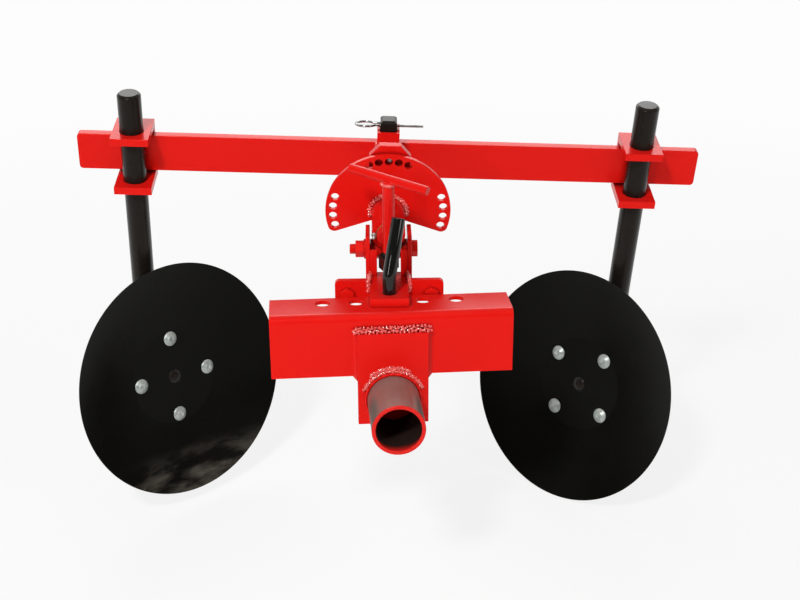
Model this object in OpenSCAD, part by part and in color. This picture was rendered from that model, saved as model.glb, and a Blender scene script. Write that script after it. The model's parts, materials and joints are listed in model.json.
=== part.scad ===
/* [Rest pose] */
// Swing of the tongue on the hitch pin, as it stands
tongue_swing = -3.6; // [-4.5:0.1:4.5]
// Rise of the roll axis towards the rear, as it stands
arm_pitch = 12.3; // [6:0.1:16]
// Lean of the toolbar about the roll axis, right end down
toolbar_lean = 2.5; // [0:0.1:5]
// Toe of the left disc, from straight ahead towards the middle
left_disc_toe = 44; // [30:1:60]
// Toe of the right disc, from straight ahead towards the middle
right_disc_toe = 48; // [30:1:60]
// Upward tilt of the disc axles
disc_tilt = 19.5; // [5:0.5:25]
// Turn of the left disc on its axle
left_disc_turn = 9; // [0:1:90]
// Turn of the right disc on its axle
right_disc_turn = 63; // [0:1:90]
// Turn of the T-bar about the depth screw
tee_turn = -33; // [-60:1:60]

/* [Hitch] */
// Outside diameter of the hitch tube
tube_d = 60; // [50:0.5:70]
// Wall of the hitch tube
tube_wall = 4.5; // [3:0.1:8]
// Length of the hitch tube in front of its plate
tube_len = 78.5; // [45:0.5:110]
// Width of the front plate
plate_w = 81; // [72:1:110]
// Thickness of the front plate
plate_t = 10; // [6:0.5:16]
// Reach of the front plate below the tube's axis
plate_drop = 30.5; // [26:0.5:50]
// Reach of the front plate above the tube's axis
plate_rise = 81.5; // [60:0.5:92]
// Length of the angle bar
angle_len = 277; // [220:1:360]
// Height of the angle bar's front leg
angle_h = 75; // [50:1:100]
// Depth of the angle bar's top flange
angle_depth = 56; // [52:0.5:70]
// Thickness of the angle bar
angle_t = 4.5; // [4:0.5:9]
// Outer radius of the angle bar's bend
angle_bend_r = 9; // [9:0.5:14]
// Height of the angle bar's top face above the tube's axis
angle_top = 101.5; // [96:0.5:130]
// Diameter of the holes in the top flange
flange_hole_d = 17; // [16.4:0.1:19]
// Spacing of the holes in the top flange
flange_hole_pitch = 38.6; // [30:0.2:50]
// Number of holes in the top flange
flange_hole_count = 5; // [3:2:5]
// Distance from the angle bar's front face to the row of holes
flange_hole_y = 40; // [36:0.5:44]

/* [Hitch pin] */
// Diameter of the bent hitch pin
pin_d = 16; // [12:0.1:16]
// Reach of the pin below the top flange
pin_below = 14; // [8:1:30]
// Height of the pin's bend above the tongue
pin_bend_h = 21; // [16:0.5:26]
// Length of the pin's handle
pin_handle_len = 67; // [50:1:76]
// Lean of the pin's handle from upright
pin_lean = 19.5; // [10:0.5:22]
// Turn of the pin's handle from straight back towards the right
pin_turn = 30; // [10:1:60]
// Diameter of the upset bend, as a multiple of the pin's
pin_upset = 1.03; // [1.02:0.01:1.1]
// Radial clearance of the pin in the tongue
pin_fit = 0.1; // [0.05:0.01:0.2]

/* [Tongue] */
// Width of the tongue, which lies between the cheeks
tongue_w = 44.5; // [43.5:0.5:52]
// Thickness of the tongue plate
tongue_t = 10; // [8:0.5:14]
// Reach of the tongue in front of the pin
tongue_front = 19; // [13:0.5:24]
// Gap between the tongue and the flange that it swings on
tongue_gap = 0.2; // [0.1:0.05:0.4]
// Length of the tongue between the cheeks
tongue_tail = 14; // [10:0.5:16]
// Thickness of a cheek
cheek_t = 5.2; // [4:0.1:8]
// Height of a cheek above the tongue
cheek_h = 48; // [40:1:56]
// Depth of a cheek from front to rear
cheek_depth = 54; // [46:1:58]
// Corner radius at the top of a cheek
cheek_r = 5; // [2:0.5:10]
// Distance from the pin to the cheeks' front edge
cheek_front = 56; // [50:0.5:62]
// Distance from the cheeks' front edge to the pivot bolt
pivot_back = 30; // [27:0.5:34]
// Height of the pivot bolt above the tongue
pivot_h = 24; // [22:0.5:28]
// Thickness of the web strips inside the cheeks
web_t = 5; // [3:0.5:8]
// Height of the web strips
web_h = 32; // [18:1:36]
// Width of the window between the web strips
window_w = 28; // [26:0.5:34]

/* [Swing stops] */
// Reach of a wing from the tongue's side
wing_reach = 41.5; // [36:0.5:50]
// Thickness of a wing
wing_t = 8; // [5:0.5:12]
// Height of a wing
wing_h = 27; // [26:1:46]
// Rise of a wing above the tongue
wing_rise = 5; // [3:0.5:12]
// Corner radius of a wing
wing_r = 5; // [2:0.5:8]
// Distance of a set bolt from the middle
stop_x = 49.5; // [42:0.5:52]
// Gap between a set bolt's head and the flange with the tongue straight
stop_gap = 5.5; // [4.5:0.1:9]
// Thread diameter of the set bolts
stop_d = 10; // [8:1:12]
// Width across the flats of the set bolts
stop_af = 16; // [13:1:19]
// Height of a set bolt's head
stop_head_h = 6.4; // [4:0.2:8]
// Height of a lock nut
stop_nut_h = 6; // [4:0.2:9]
// Reach of a set bolt behind its lock nut
stop_tail = 4; // [2:0.5:12]

/* [Pivot bolt] */
// Diameter of the pivot bolt
pivot_d = 12; // [10:0.5:13]
// Width across the flats of the pivot bolt and its nut
pivot_af = 18; // [17:1:21]
// Height of the pivot bolt's head
pivot_head_h = 7.5; // [5:0.5:9]
// Height of the pivot nut
pivot_nut_h = 10; // [7:0.5:13]
// Reach of the pivot bolt past its nut
pivot_tail = 7; // [2:0.5:12]
// Thickness of the pivot washer
washer_t = 2.4; // [1.5:0.1:3]
// Outside diameter of the pivot washer
washer_d = 24; // [21:0.5:28]
// Wall of the pivot bush
bush_wall = 2; // [1.5:0.1:2.5]
// Outside diameter of the pivot housing
housing_d = 24; // [21:0.5:25]
// Side clearance of the pivot housing between the cheeks
housing_side = 0.3; // [0.2:0.05:0.6]
// Radial clearance of a shaft in its bush
run_fit = 0.05; // [0.02:0.01:0.1]

/* [Arm] */
// Height of the roll axis above the pivot bolt
roll_rise = 28; // [27.5:0.5:33]
// Outside diameter of the roll tube
roll_tube_d = 40; // [36:0.5:41]
// Wall of the roll tube
roll_tube_wall = 5; // [4:0.2:6]
// Reach of the roll tube in front of the pivot bolt
roll_tube_front = 14; // [8:0.5:15]
// Distance from the pivot bolt to the index sector's front face
sector_y = 40.8; // [38:0.2:50]
// Thickness of the index sector
sector_t = 5; // [4:0.5:9]
// Radius of the index sector
sector_r = 76.4; // [73:0.5:90]
// Radius of the circle of index holes
index_r = 67.4; // [60:0.2:68]
// Diameter of an index hole
index_hole_d = 9.6; // [9:0.1:10.4]
// Angle between neighbouring index holes
index_step = 10.2; // [9.5:0.1:12]
// Index holes on each side of the top one
top_pairs = 2; // [1:1:3]
// Angle from the top to the first side hole
side_first = 73; // [66:0.5:74]
// Angle between neighbouring side holes
side_step = 11.2; // [9.5:0.1:11.6]
// Number of holes in each side row
side_count = 4; // [2:1:4]
// Turn of the sector on the roll tube
sector_turn = 1.2; // [0:0.1:3]
// Slope of the sector's lower edges
sector_slope = 19.5; // [14:0.5:22]
// Depth below the roll axis where the lower edges would meet
sector_vee = 5.6; // [5:0.1:10]
// Radius of the sector's lower corners
sector_corner_r = 8; // [4:0.5:12]
// Length of a plain bush in the roll tube
roll_bush_len = 18; // [10:1:24]

/* [Depth screw] */
// Distance of the depth screw in front of the pivot bolt
screw_front = 30; // [29:0.5:33]
// Diameter of the depth screw
screw_d = 14; // [12:0.5:14]
// Width across the flats of the screw's nut
screw_nut_af = 21; // [20:0.5:24]
// Height of the screw's nut
screw_nut_h = 17; // [12:0.5:18]
// Top of the screw's nut above the pivot bolt
screw_nut_top = 9; // [7:0.5:10]
// Width of the bar that carries the screw's nut
nose_w = 20; // [14:1:24]
// Height of the bar that carries the screw's nut
nose_h = 13; // [8:0.5:14]
// Gap between the screw's tip and the tongue
tip_gap = 0.35; // [0.3:0.05:0.6]
// Height of the plain handle rod's foot above the screw's nut
rod_foot = 6; // [4:0.5:12]
// Height of the T-bar above the pivot bolt
tee_h = 111; // [104:1:122]
// Diameter of the T-bar
tee_d = 10.5; // [8:0.5:12]
// Length of the T-bar
tee_len = 105; // [80:1:116]
// Diameter of the plain handle rod
handle_d = 14.5; // [12:0.5:17]
// Radial clearance of the screw in its nut
screw_fit = 0.08; // [0.05:0.01:0.1]

/* [Grease nipple] */
// Angle of the nipple round the roll tube's rim, from the left downwards
nipple_angle = 0; // [-20:1:40]
// Width across the flats of the nipple
nipple_af = 5.5; // [5:0.1:6]
// Length of the nipple in front of the roll tube
nipple_len = 8; // [6:0.5:10]
// Depth of the nipple in the roll tube
nipple_seat = 4; // [2:0.5:8]

/* [Roll shaft] */
// Diameter of the roll shaft
shaft_d = 24; // [21:0.5:25]
// Reach of the shaft in front of the roll tube
shaft_front = 6; // [5.4:0.1:6.6]
// Outside diameter of the thrust washers
thrust_d = 28; // [26.5:0.5:28]
// Thickness of a thrust washer
thrust_t = 2; // [1.5:0.1:2.4]
// End play between a thrust washer and the roll tube
thrust_gap = 0.2; // [0.1:0.05:0.3]
// Thickness of the retaining ring
ring_t = 1.8; // [1.2:0.1:2]
// Depth of the retaining ring's groove
ring_groove = 1.2; // [0.8:0.1:1.6]
// Outside diameter of the retaining ring
ring_d = 27.5; // [26:0.5:28]
// Diameter of the shaft's neck at the post
neck_d = 20; // [16:0.5:21]

/* [Index lug] */
// Width of the lug
lug_w = 50; // [46:1:64]
// Thickness of the lug
lug_t = 10; // [8:0.5:18]
// Top of the lug above the roll axis
lug_top = 85; // [80:0.5:94]
// Width of the lug's flat top
lug_top_w = 25; // [20:1:34]
// Height of the lug's sloping shoulders
lug_shoulder = 14; // [8:0.5:16]
// Diameter of the index pin
index_pin_d = 6; // [5:0.1:6.4]
// Gap between the drawn index pin and the sector
index_gap = 0.4; // [0.3:0.05:0.8]
// Diameter of the index pin's knob
knob_d = 12; // [10:0.5:18]
// Length of the index pin's knob
knob_len = 8; // [6:0.5:12]
// Travel of the index pin into the sector
index_travel = 7; // [6:0.5:9]

/* [Toolbar] */
// Distance from the sector's front face to the toolbar's front face
bar_y = 131; // [125:0.5:140]
// Height of the toolbar above the roll axis
bar_z = 1.5; // [-3:0.5:3]
// Length of the toolbar
bar_len = 805; // [760:1:1000]
// Height of the toolbar
bar_h = 50; // [40:1:56]
// Thickness of the toolbar
bar_t = 12; // [8:0.5:16]
// Corner radius of the toolbar's ends
bar_r = 5; // [1:0.5:9]
// Offset of the toolbar's middle from the sleeve
bar_shift = 4; // [-6:0.5:10]
// Outside width of the square sleeve
sleeve_w = 28; // [27.5:0.5:33]
// Wall of the square sleeve
sleeve_wall = 3.2; // [2:0.1:3.6]
// Top of the sleeve above the roll axis
sleeve_top = 54; // [44:0.5:56]
// Bottom of the sleeve below the roll axis
sleeve_bottom = 30; // [20:0.5:40]
// Clearance between the post and the sleeve, each side
sleeve_fit = 0.4; // [0.3:0.05:0.8]
// Top of the post above the roll axis
post_top = 67.5; // [66:0.5:84]
// Bottom of the post below the roll axis
post_bottom = 32; // [20:0.5:44]
// Chamfer at the top of the post
post_chamfer = 3; // [1:0.5:4]
// Height of the R-clip above the sleeve
clip_rise = 5; // [5:0.5:7]
// Wire diameter of the R-clip
clip_d = 3; // [2.5:0.1:4]
// Clearance of the R-clip in its hole
clip_fit = 0.2; // [0.1:0.05:0.4]
// Radius of the R-clip's loop, to the middle of the wire
clip_loop_r = 12.5; // [11:0.5:16]
// Distance of the loop's middle from the post's axis
clip_loop_x = 29; // [27:0.5:36]
// Reach of the R-clip's straight leg past the post's axis
clip_reach = 44; // [24:1:60]
// Reach of the R-clip's short leg past the post's axis
clip_short = 7; // [2:0.5:20]

/* [Clamps and shanks] */
// Distance of the left shank from the roll axis
left_shank_x = 325; // [300:0.5:340]
// Distance of the right shank from the roll axis
right_shank_x = 326; // [300:0.5:340]
// Diameter of a shank
shank_d = 30; // [26:0.5:32]
// Top of the left shank above the roll axis
left_shank_top = 93; // [80:1:140]
// Top of the right shank above the roll axis
right_shank_top = 98; // [80:1:140]
// Chamfer at the top of a shank
shank_chamfer = 3; // [1:0.5:5]
// Gap between a shank and the toolbar
shank_gap = 0.3; // [0.2:0.05:0.6]
// Radial clearance of a shank in its clamp
shank_fit = 0.1; // [0.05:0.01:0.1]
// Width of a clamp
clamp_w = 48; // [42:1:60]
// Thickness of a clamp's top and bottom plates
clamp_t = 10; // [6:0.5:12]
// Thickness of a clamp's back plate
clamp_back_t = 8; // [6:0.5:12]
// Reach of a clamp in front of the shank's axis
clamp_front = 25.5; // [21:0.5:34]
// Gap above and below the toolbar in a clamp
clamp_play = 4.5; // [2:0.5:6]
// Gap between the toolbar and the clamp's back plate
clamp_back_gap = 0.5; // [0.3:0.1:2]
// Thread diameter of a clamp bolt
clamp_bolt_d = 12; // [10:1:14]
// Width across the flats of a clamp bolt
clamp_bolt_af = 18; // [16:1:22]
// Height of a clamp bolt's head
clamp_head_h = 7.5; // [5:0.5:9]
// Length of a clamp bolt outside the back plate, under its head
clamp_bolt_free = 5; // [1:0.5:12]

/* [Axle knuckles] */
// Distance of the axle below the roll axis, at the shank
knuckle_drop = 331.5; // [310:0.5:380]
// Sideways offset of the axle from the shank's axis
axle_offset = 6.5; // [0:0.5:8]
// Outside diameter of a knuckle
knuckle_d = 46; // [42:0.5:50]
// Height of a knuckle
knuckle_h = 42; // [34:1:46]
// Radial clearance of a knuckle on its shank
knuckle_fit = 0.1; // [0.05:0.01:0.1]
// Thread diameter of a knuckle's set bolt
knuckle_bolt_d = 10; // [8:1:12]
// Width across the flats of a knuckle's set bolt
knuckle_bolt_af = 16; // [13:1:18]
// Height of a knuckle's set bolt head
knuckle_head_h = 6.4; // [4:0.2:8]
// Length of a knuckle's set bolt outside, under its head
knuckle_bolt_free = 3; // [1:0.5:10]
// Diameter of the axle's shoulder
shoulder_d = 26; // [25:0.5:28]
// Diameter of the axle at the rear bearing
rear_seat_d = 20; // [18.5:0.5:21]
// Diameter of the axle at the front bearing
front_seat_d = 17; // [16.8:0.1:18]
// Thread diameter at the axle's end
axle_thread_d = 16; // [14:0.5:16.4]
// Height of the axle nut
axle_nut_h = 6; // [5:0.2:7]
// Width across the flats of the axle nut
axle_nut_af = 24; // [21:0.5:26]
// Reach of the axle past its nut
axle_tail = 1; // [0.5:0.1:1.2]

/* [Hubs] */
// Distance from the shank's axis to the hub's rear face, along the axle
hub_back = 30; // [29:0.5:31]
// Gap between the hub's rear face and the axle's shoulder
hub_recess = 2; // [1:0.2:3]
// Width of a ball bearing
bearing_w = 11; // [9:0.5:12]
// Outside diameter of the rear bearing
rear_bearing_d = 42; // [38:0.5:44]
// Outside diameter of the front bearing
front_bearing_d = 40; // [36:0.5:42]
// Width of the rib between the bearings
rib_w = 6; // [4:0.5:7]
// Bore of the rib between the bearings
rib_d = 34; // [30:0.5:36]
// Clearance of a bearing in the hub
bearing_fit = 0.02; // [0.01:0.01:0.05]
// Outside diameter of the hub's barrel
barrel_d = 54; // [50:0.5:58]
// Diameter of the hub's flange
flange_d = 128; // [124:1:136]
// Thickness of the hub's flange
flange_t = 8; // [5:0.5:10]
// Room in front of the axle for the hub cap
cap_room = 2; // [2:0.1:3]
// Thickness of the hub cap's rim
cap_rim_t = 1.6; // [1:0.1:1.8]
// Diameter of the hub cap's rim
cap_rim_d = 32; // [26:0.5:35]
// Diameter of the hub cap where it shows
cap_d = 19.6; // [14:0.2:24]
// Rise of the hub cap above the disc
cap_rise = 2; // [0.5:0.25:4]
// Clearance of the hub cap in the disc
cap_fit = 0.2; // [0.1:0.05:0.4]

/* [Discs] */
// Diameter of a disc
disc_d = 320; // [280:1:340]
// Thickness of a disc
disc_t = 3.5; // [3:0.25:6]
// Depth of a disc's dish
dish_depth = 22; // [15:0.5:30]
// Diameter of a disc's flat middle
dish_flat_d = 126; // [122:1:160]
// Diameter of the circle of disc bolts
bolt_circle_d = 108; // [96:1:110]
// Number of disc bolts
bolt_count = 4; // [3:1:6]
// Diameter of the disc bolts
disc_bolt_d = 8; // [6:0.5:8]
// Clearance of the disc bolts in their holes, across the diameter
disc_bolt_fit = 0.4; // [0.2:0.1:0.8]
// Diameter of a disc bolt's domed head
disc_head_d = 20; // [16:0.5:22]
// Height of a disc bolt's domed head
disc_head_h = 4.4; // [3:0.2:5.5]
// Width across the flats of a disc nut
disc_nut_af = 13; // [11:0.5:14]
// Height of a disc nut
disc_nut_h = 6.8; // [5:0.2:8]
// Reach of a disc bolt past its nut
disc_bolt_tail = 3; // [1:0.5:5]

/* [Hidden] */
$fn = 64;
RED = "#e2231b";
BLACK = "#231d18";
DISC_BLACK = "#141411";
STEEL = "#8c8781";
ZINC = "#c8cdc8";
BRONZE = "#b08d57";
over = 1;
corner_lap = 0.1;

// Width across the corners of a hexagon
function across_corners(af) = af / cos(30);

// Hitch frame: origin on the tube's axis at the plate's front face
pin_y = plate_t + flange_hole_y;
flange_edge = angle_depth - flange_hole_y;
tongue_top = tongue_gap + tongue_t;

// Tongue frame: origin on the pin's axis at the flange's top face
pivot_y = cheek_front + pivot_back;
pivot_z = tongue_top + pivot_h;
yoke_w = tongue_w + 2 * cheek_t;
stop_z = -angle_t / 2;
wing_y = flange_edge + stop_gap + stop_head_h;
wing_top = tongue_top + wing_rise;

// Arm frame: origin on the pivot bolt's axis, Y along the roll axis
tube_front_y = -roll_tube_front;
tube_rear_y = sector_y + sector_t;
roll_bore_d = roll_tube_d - 2 * roll_tube_wall;
nipple_stem_d = 0.65 * nipple_af;
screw_nut_bottom = screw_nut_top - screw_nut_h;
rod_foot_z = screw_nut_top + rod_foot;
tip_r = screw_d / 2;
// Height of the middle of the tip that keeps its gap to the pitched tongue
tip_centre_z = (tip_r + tip_gap - pivot_h + screw_front * sin(arm_pitch)) / cos(arm_pitch);

// Head frame: origin on the roll axis at the sector's front face
tube_front_head = tube_front_y - sector_y;
front_washer_y = tube_front_head - thrust_gap - thrust_t;
snap_y = front_washer_y - ring_t;
rear_washer_y = sector_t + thrust_gap;
lug_y = rear_washer_y + thrust_t;
lug_rear = lug_y + lug_t;
post_w = sleeve_w - 2 * sleeve_wall - 2 * sleeve_fit;
sleeve_y = bar_y - sleeve_w / 2;
// The post leans on the sleeve's rear wall
post_y = sleeve_y + sleeve_fit;
neck_y = bar_y - sleeve_w - sleeve_fit;
slot_w = neck_d + 2 * sleeve_fit;
clip_z = sleeve_top + clip_rise;
clip_leg_gap = (post_w / 2 + clip_d / 2 + clip_fit) / cos(arm_pitch);
shank_y = bar_y - shank_gap - shank_d / 2;
clamp_inner = bar_h / 2 + clamp_play;
clamp_back_y = bar_y + bar_t + clamp_back_gap;
knob_y = lug_rear + index_travel + over;

// Axle frame: origin on the shank's axis, Z along the axle towards the disc
rear_bearing_z = hub_back + hub_recess;
rib_z = rear_bearing_z + bearing_w;
front_bearing_z = rib_z + rib_w;
axle_nut_z = front_bearing_z + bearing_w;
axle_end = axle_nut_z + axle_nut_h + axle_tail;
hub_face = axle_end + cap_room;
disc_face = hub_face + disc_t;
flange_back = hub_face - flange_t;
knuckle_bottom = knuckle_drop + knuckle_h / 2;
// Distance from the flat middle to the centre of the dish's sphere
dish_rise = ((pow(disc_d, 2) - pow(dish_flat_d, 2)) / 4 / dish_depth + dish_depth) / 2;
dish_sphere_r = sqrt(pow(dish_rise, 2) + pow(dish_flat_d / 2, 2));

// Places a child in the tongue frame
module on_tongue() {
    translate([0, pin_y, angle_top]) rotate([0, 0, tongue_swing]) children();
}

// Places a child in the arm frame
module on_arm() {
    on_tongue() translate([0, pivot_y, pivot_z]) rotate([arm_pitch, 0, 0]) children();
}

// Places a child on the depth screw's axis
module on_screw() {
    on_arm() translate([0, -screw_front, 0]) children();
}

// Places a child in the head frame
module on_head() {
    on_arm() translate([0, sector_y, roll_rise]) rotate([0, toolbar_lean, 0]) children();
}

// Places a child, drawn for the right, on one side of the head
module on_side(side) {
    x = side < 0 ? left_shank_x : right_shank_x;
    on_head() mirror([side < 0 ? 1 : 0, 0, 0]) translate([x, shank_y, 0]) children();
}

// Places a child in the axle frame of one side
module on_axle(side) {
    toe = side < 0 ? left_disc_toe : right_disc_toe;
    on_side(side) translate([0, 0, -knuckle_drop])
        rotate([0, 0, -toe]) translate([axle_offset, 0, 0]) rotate([90 - disc_tilt, 0, 0]) children();
}

// Cylinder along +Y
module rod_y(d, len) {
    rotate([-90, 0, 0]) cylinder(d = d, h = len);
}

// Cylinder along +X
module rod_x(d, len) {
    rotate([0, 90, 0]) cylinder(d = d, h = len);
}

// Hexagon prism along +Z with its flats facing left and right
module hex_z(af, h) {
    rotate([0, 0, 30]) cylinder(d = across_corners(af), h = h, $fn = 6);
}

// Hexagon prism along +Y
module hex_y(af, h) {
    rotate([-90, 0, 0]) hex_z(af, h);
}

// Hexagon prism along +X
module hex_x(af, h) {
    rotate([0, 90, 0]) hex_z(af, h);
}

// Ring along +Y
module ring_y(outer_d, inner_d, h) {
    difference() {
        rod_y(outer_d, h);
        translate([0, -over, 0]) rod_y(inner_d, h + 2 * over);
    }
}

// Ring along +Z
module ring_z(outer_d, inner_d, h) {
    difference() {
        cylinder(d = outer_d, h = h);
        translate([0, 0, -over]) cylinder(d = inner_d, h = h + 2 * over);
    }
}

// Flat rectangle from a corner, with all four corners rounded
module rounded_rect(w, h, r) {
    translate([r, 0]) square([w - 2 * r, h]);
    translate([0, r]) square([w, h - 2 * r]);
    for (x = [r, w - r], y = [r, h - r])
        translate([x, y]) circle(r);
}

// Upright plate across Y, drawn from a flat outline in X and Z
module plate_xz(t) {
    translate([0, t, 0]) rotate([90, 0, 0]) linear_extrude(t) children();
}

// Upright plate across X, drawn from a flat outline in Y and Z
module plate_yz(t) {
    rotate([90, 0, 90]) linear_extrude(t) children();
}

module hitch_tube() {
    color(STEEL) translate([0, -tube_len, 0]) ring_y(tube_d, tube_d - 2 * tube_wall, tube_len);
}

module front_plate() {
    color(RED) translate([-plate_w / 2, 0, -plate_drop])
        cube([plate_w, plate_t, plate_rise + plate_drop]);
}

// Section of the angle bar, with Y to the rear and Z down from its top face
module angle_section() {
    inner_r = angle_bend_r - angle_t;
    translate([angle_bend_r, -angle_t]) square([angle_depth - angle_bend_r, angle_t]);
    translate([0, -angle_h]) square([angle_t, angle_h - angle_bend_r]);
    intersection() {
        translate([angle_bend_r, -angle_bend_r]) difference() {
            circle(angle_bend_r);
            circle(inner_r);
        }
        translate([0, -angle_bend_r]) square(angle_bend_r);
    }
}

module angle_bar() {
    color(RED) difference() {
        translate([-angle_len / 2, plate_t, angle_top]) plate_yz(angle_len) angle_section();
        for (i = [0 : flange_hole_count - 1])
            translate([(i - (flange_hole_count - 1) / 2) * flange_hole_pitch, pin_y, angle_top])
                translate([0, 0, -angle_t - over]) cylinder(d = flange_hole_d, h = angle_t + 2 * over);
    }
}

module hitch_pin() {
    foot = -angle_t - pin_below;
    bend_z = tongue_top + pin_bend_h;
    color(BLACK) on_tongue() {
        translate([0, 0, foot]) cylinder(d = pin_d, h = bend_z - foot);
        translate([0, 0, bend_z]) {
            sphere(d = pin_d * pin_upset);
            rotate([0, 0, -pin_turn]) rotate([-pin_lean, 0, 0]) cylinder(d = pin_d, h = pin_handle_len);
        }
    }
}

module tongue_plate() {
    color(RED) on_tongue() difference() {
        translate([-tongue_w / 2, -tongue_front, tongue_gap])
            cube([tongue_w, tongue_front + cheek_front + tongue_tail, tongue_t]);
        cylinder(d = pin_d + 2 * pin_fit, h = tongue_top + over);
    }
}

// Cheek drawn for the right, against the tongue's side
module cheek() {
    height = tongue_t + cheek_h;
    translate([tongue_w / 2, cheek_front, tongue_gap]) difference() {
        plate_yz(cheek_t) {
            square([cheek_depth, height - cheek_r]);
            translate([cheek_r, 0]) square([cheek_depth - 2 * cheek_r, height]);
            for (y = [cheek_r, cheek_depth - cheek_r])
                translate([y, height - cheek_r]) circle(cheek_r);
        }
        translate([-over, pivot_back, tongue_t + pivot_h]) rod_x(pivot_d + 2 * run_fit, cheek_t + 2 * over);
    }
}

module left_cheek() {
    color(RED) on_tongue() mirror([1, 0, 0]) cheek();
}

module right_cheek() {
    color(RED) on_tongue() cheek();
}

module tongue_web() {
    strip_w = (tongue_w - window_w) / 2;
    color(RED) on_tongue() for (x = [-tongue_w / 2, window_w / 2])
        translate([x, cheek_front, tongue_top]) cube([strip_w, web_t, web_h]);
}

// Wing drawn for the right, from the tongue's side outwards
module wing() {
    translate([tongue_w / 2, wing_y, wing_top - wing_h]) difference() {
        plate_xz(wing_t) {
            square([wing_reach - wing_r, wing_h]);
            translate([wing_reach - 2 * wing_r, wing_r]) square([2 * wing_r, wing_h - 2 * wing_r]);
            for (z = [wing_r, wing_h - wing_r])
                translate([wing_reach - wing_r, z]) circle(wing_r);
        }
        translate([stop_x - tongue_w / 2, -over, stop_z - wing_top + wing_h])
            rod_y(stop_d + 2 * run_fit, wing_t + 2 * over);
    }
}

module left_wing() {
    color(RED) on_tongue() mirror([1, 0, 0]) wing();
}

module right_wing() {
    color(RED) on_tongue() wing();
}

module swing_set_bolts() {
    color(RED) on_tongue() for (x = [-stop_x, stop_x])
        translate([x, wing_y, stop_z]) {
            translate([0, -stop_head_h, 0]) {
                hex_y(stop_af, stop_head_h);
                rod_y(stop_d, stop_head_h + wing_t + stop_nut_h + stop_tail);
            }
        }
}

module swing_lock_nuts() {
    color(RED) on_tongue() for (x = [-stop_x, stop_x])
        translate([x, wing_y + wing_t, stop_z]) difference() {
            hex_y(stop_af, stop_nut_h);
            translate([0, -over, 0]) rod_y(stop_d + 2 * run_fit, stop_nut_h + 2 * over);
        }
}

module pivot_bolt() {
    grip = yoke_w + washer_t + pivot_nut_h + pivot_tail;
    color(RED) on_tongue() translate([yoke_w / 2, pivot_y, pivot_z]) {
        hex_x(pivot_af, pivot_head_h);
        translate([-grip, 0, 0]) rod_x(pivot_d, grip);
    }
}

module pivot_nut() {
    left = -yoke_w / 2 - washer_t - pivot_nut_h;
    color(RED) on_tongue() translate([left, pivot_y, pivot_z]) difference() {
        hex_x(pivot_af, pivot_nut_h);
        translate([-over, 0, 0]) rod_x(pivot_d + 2 * run_fit, pivot_nut_h + 2 * over);
    }
}

module pivot_washer() {
    color(RED) on_tongue() translate([-yoke_w / 2 - washer_t, pivot_y, pivot_z]) difference() {
        rod_x(washer_d, washer_t);
        translate([-over, 0, 0]) rod_x(pivot_d + 2 * run_fit, washer_t + 2 * over);
    }
}

module pivot_housing() {
    len = tongue_w - 2 * housing_side;
    nose_end = -screw_front + screw_nut_af / 2;
    color(RED) on_arm() difference() {
        union() {
            translate([-len / 2, 0, 0]) rod_x(housing_d, len);
            translate([-nose_w / 2, nose_end, -nose_h / 2]) cube([nose_w, -nose_end, nose_h]);
        }
        translate([-len / 2 - over, 0, 0]) rod_x(pivot_d + 2 * run_fit + 2 * bush_wall, len + 2 * over);
    }
}

module pivot_bush() {
    len = tongue_w - 2 * housing_side;
    color(BRONZE) on_arm() translate([-len / 2, 0, 0]) difference() {
        rod_x(pivot_d + 2 * run_fit + 2 * bush_wall, len);
        translate([-over, 0, 0]) rod_x(pivot_d + 2 * run_fit, len + 2 * over);
    }
}

// Places a child on the nipple's axis, with Z to the front of the roll tube
module at_nipple() {
    on_arm() translate([0, tube_front_y, roll_rise]) rotate([0, -nipple_angle, 0])
        translate([-(roll_tube_d - roll_tube_wall) / 2, 0, 0]) rotate([90, 0, 0]) children();
}

module grease_nipple() {
    color(ZINC) at_nipple() {
        translate([0, 0, -nipple_seat]) cylinder(d = nipple_stem_d, h = nipple_seat + nipple_len);
        hex_z(nipple_af, nipple_len / 3);
        translate([0, 0, nipple_len - nipple_stem_d / 2]) sphere(d = nipple_af);
    }
}

module roll_tube() {
    color(RED) difference() {
        on_arm() translate([0, tube_front_y, roll_rise])
            ring_y(roll_tube_d, roll_bore_d, tube_rear_y - tube_front_y);
        on_arm() translate([-tongue_w / 2, 0, 0]) rod_x(housing_d, tongue_w);
        at_nipple() translate([0, 0, -nipple_seat]) cylinder(d = nipple_stem_d, h = nipple_seat + over);
    }
}

module roll_bushes() {
    color(BRONZE) on_arm() for (y = [tube_front_y, tube_rear_y - roll_bush_len])
        translate([0, y, roll_rise]) ring_y(roll_bore_d, shaft_d + 2 * run_fit, roll_bush_len);
}

// Corner of the sector that its rounding takes off, drawn for the right
module sector_corner_cut() {
    along = [cos(sector_slope), -sin(sector_slope)];
    inward = [sin(sector_slope), cos(sector_slope)];
    rise = sector_corner_r - sector_vee * cos(sector_slope);
    run = sqrt(pow(sector_r - sector_corner_r, 2) - pow(rise, 2));
    centre = run * along + rise * inward;
    on_edge = centre - sector_corner_r * inward;
    on_rim = centre * sector_r / (sector_r - sector_corner_r);
    outside = on_edge + 2 * sector_corner_r * along;
    difference() {
        polygon([centre, on_edge, on_edge - over * inward, outside - over * inward,
            outside + sector_corner_r * inward, on_rim * (1 + over / sector_r), on_rim]);
        translate(centre) circle(sector_corner_r + corner_lap);
    }
}

// Outline of the index sector round the roll axis
module sector_outline() {
    reach = sector_r + over;
    difference() {
        circle(sector_r, $fn = 128);
        for (m = [0, 1])
            mirror([m, 0]) {
                polygon([[0, -sector_vee], [reach, -sector_vee - reach * tan(sector_slope)],
                    [reach, -reach], [0, -reach]]);
                sector_corner_cut();
            }
    }
}

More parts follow.
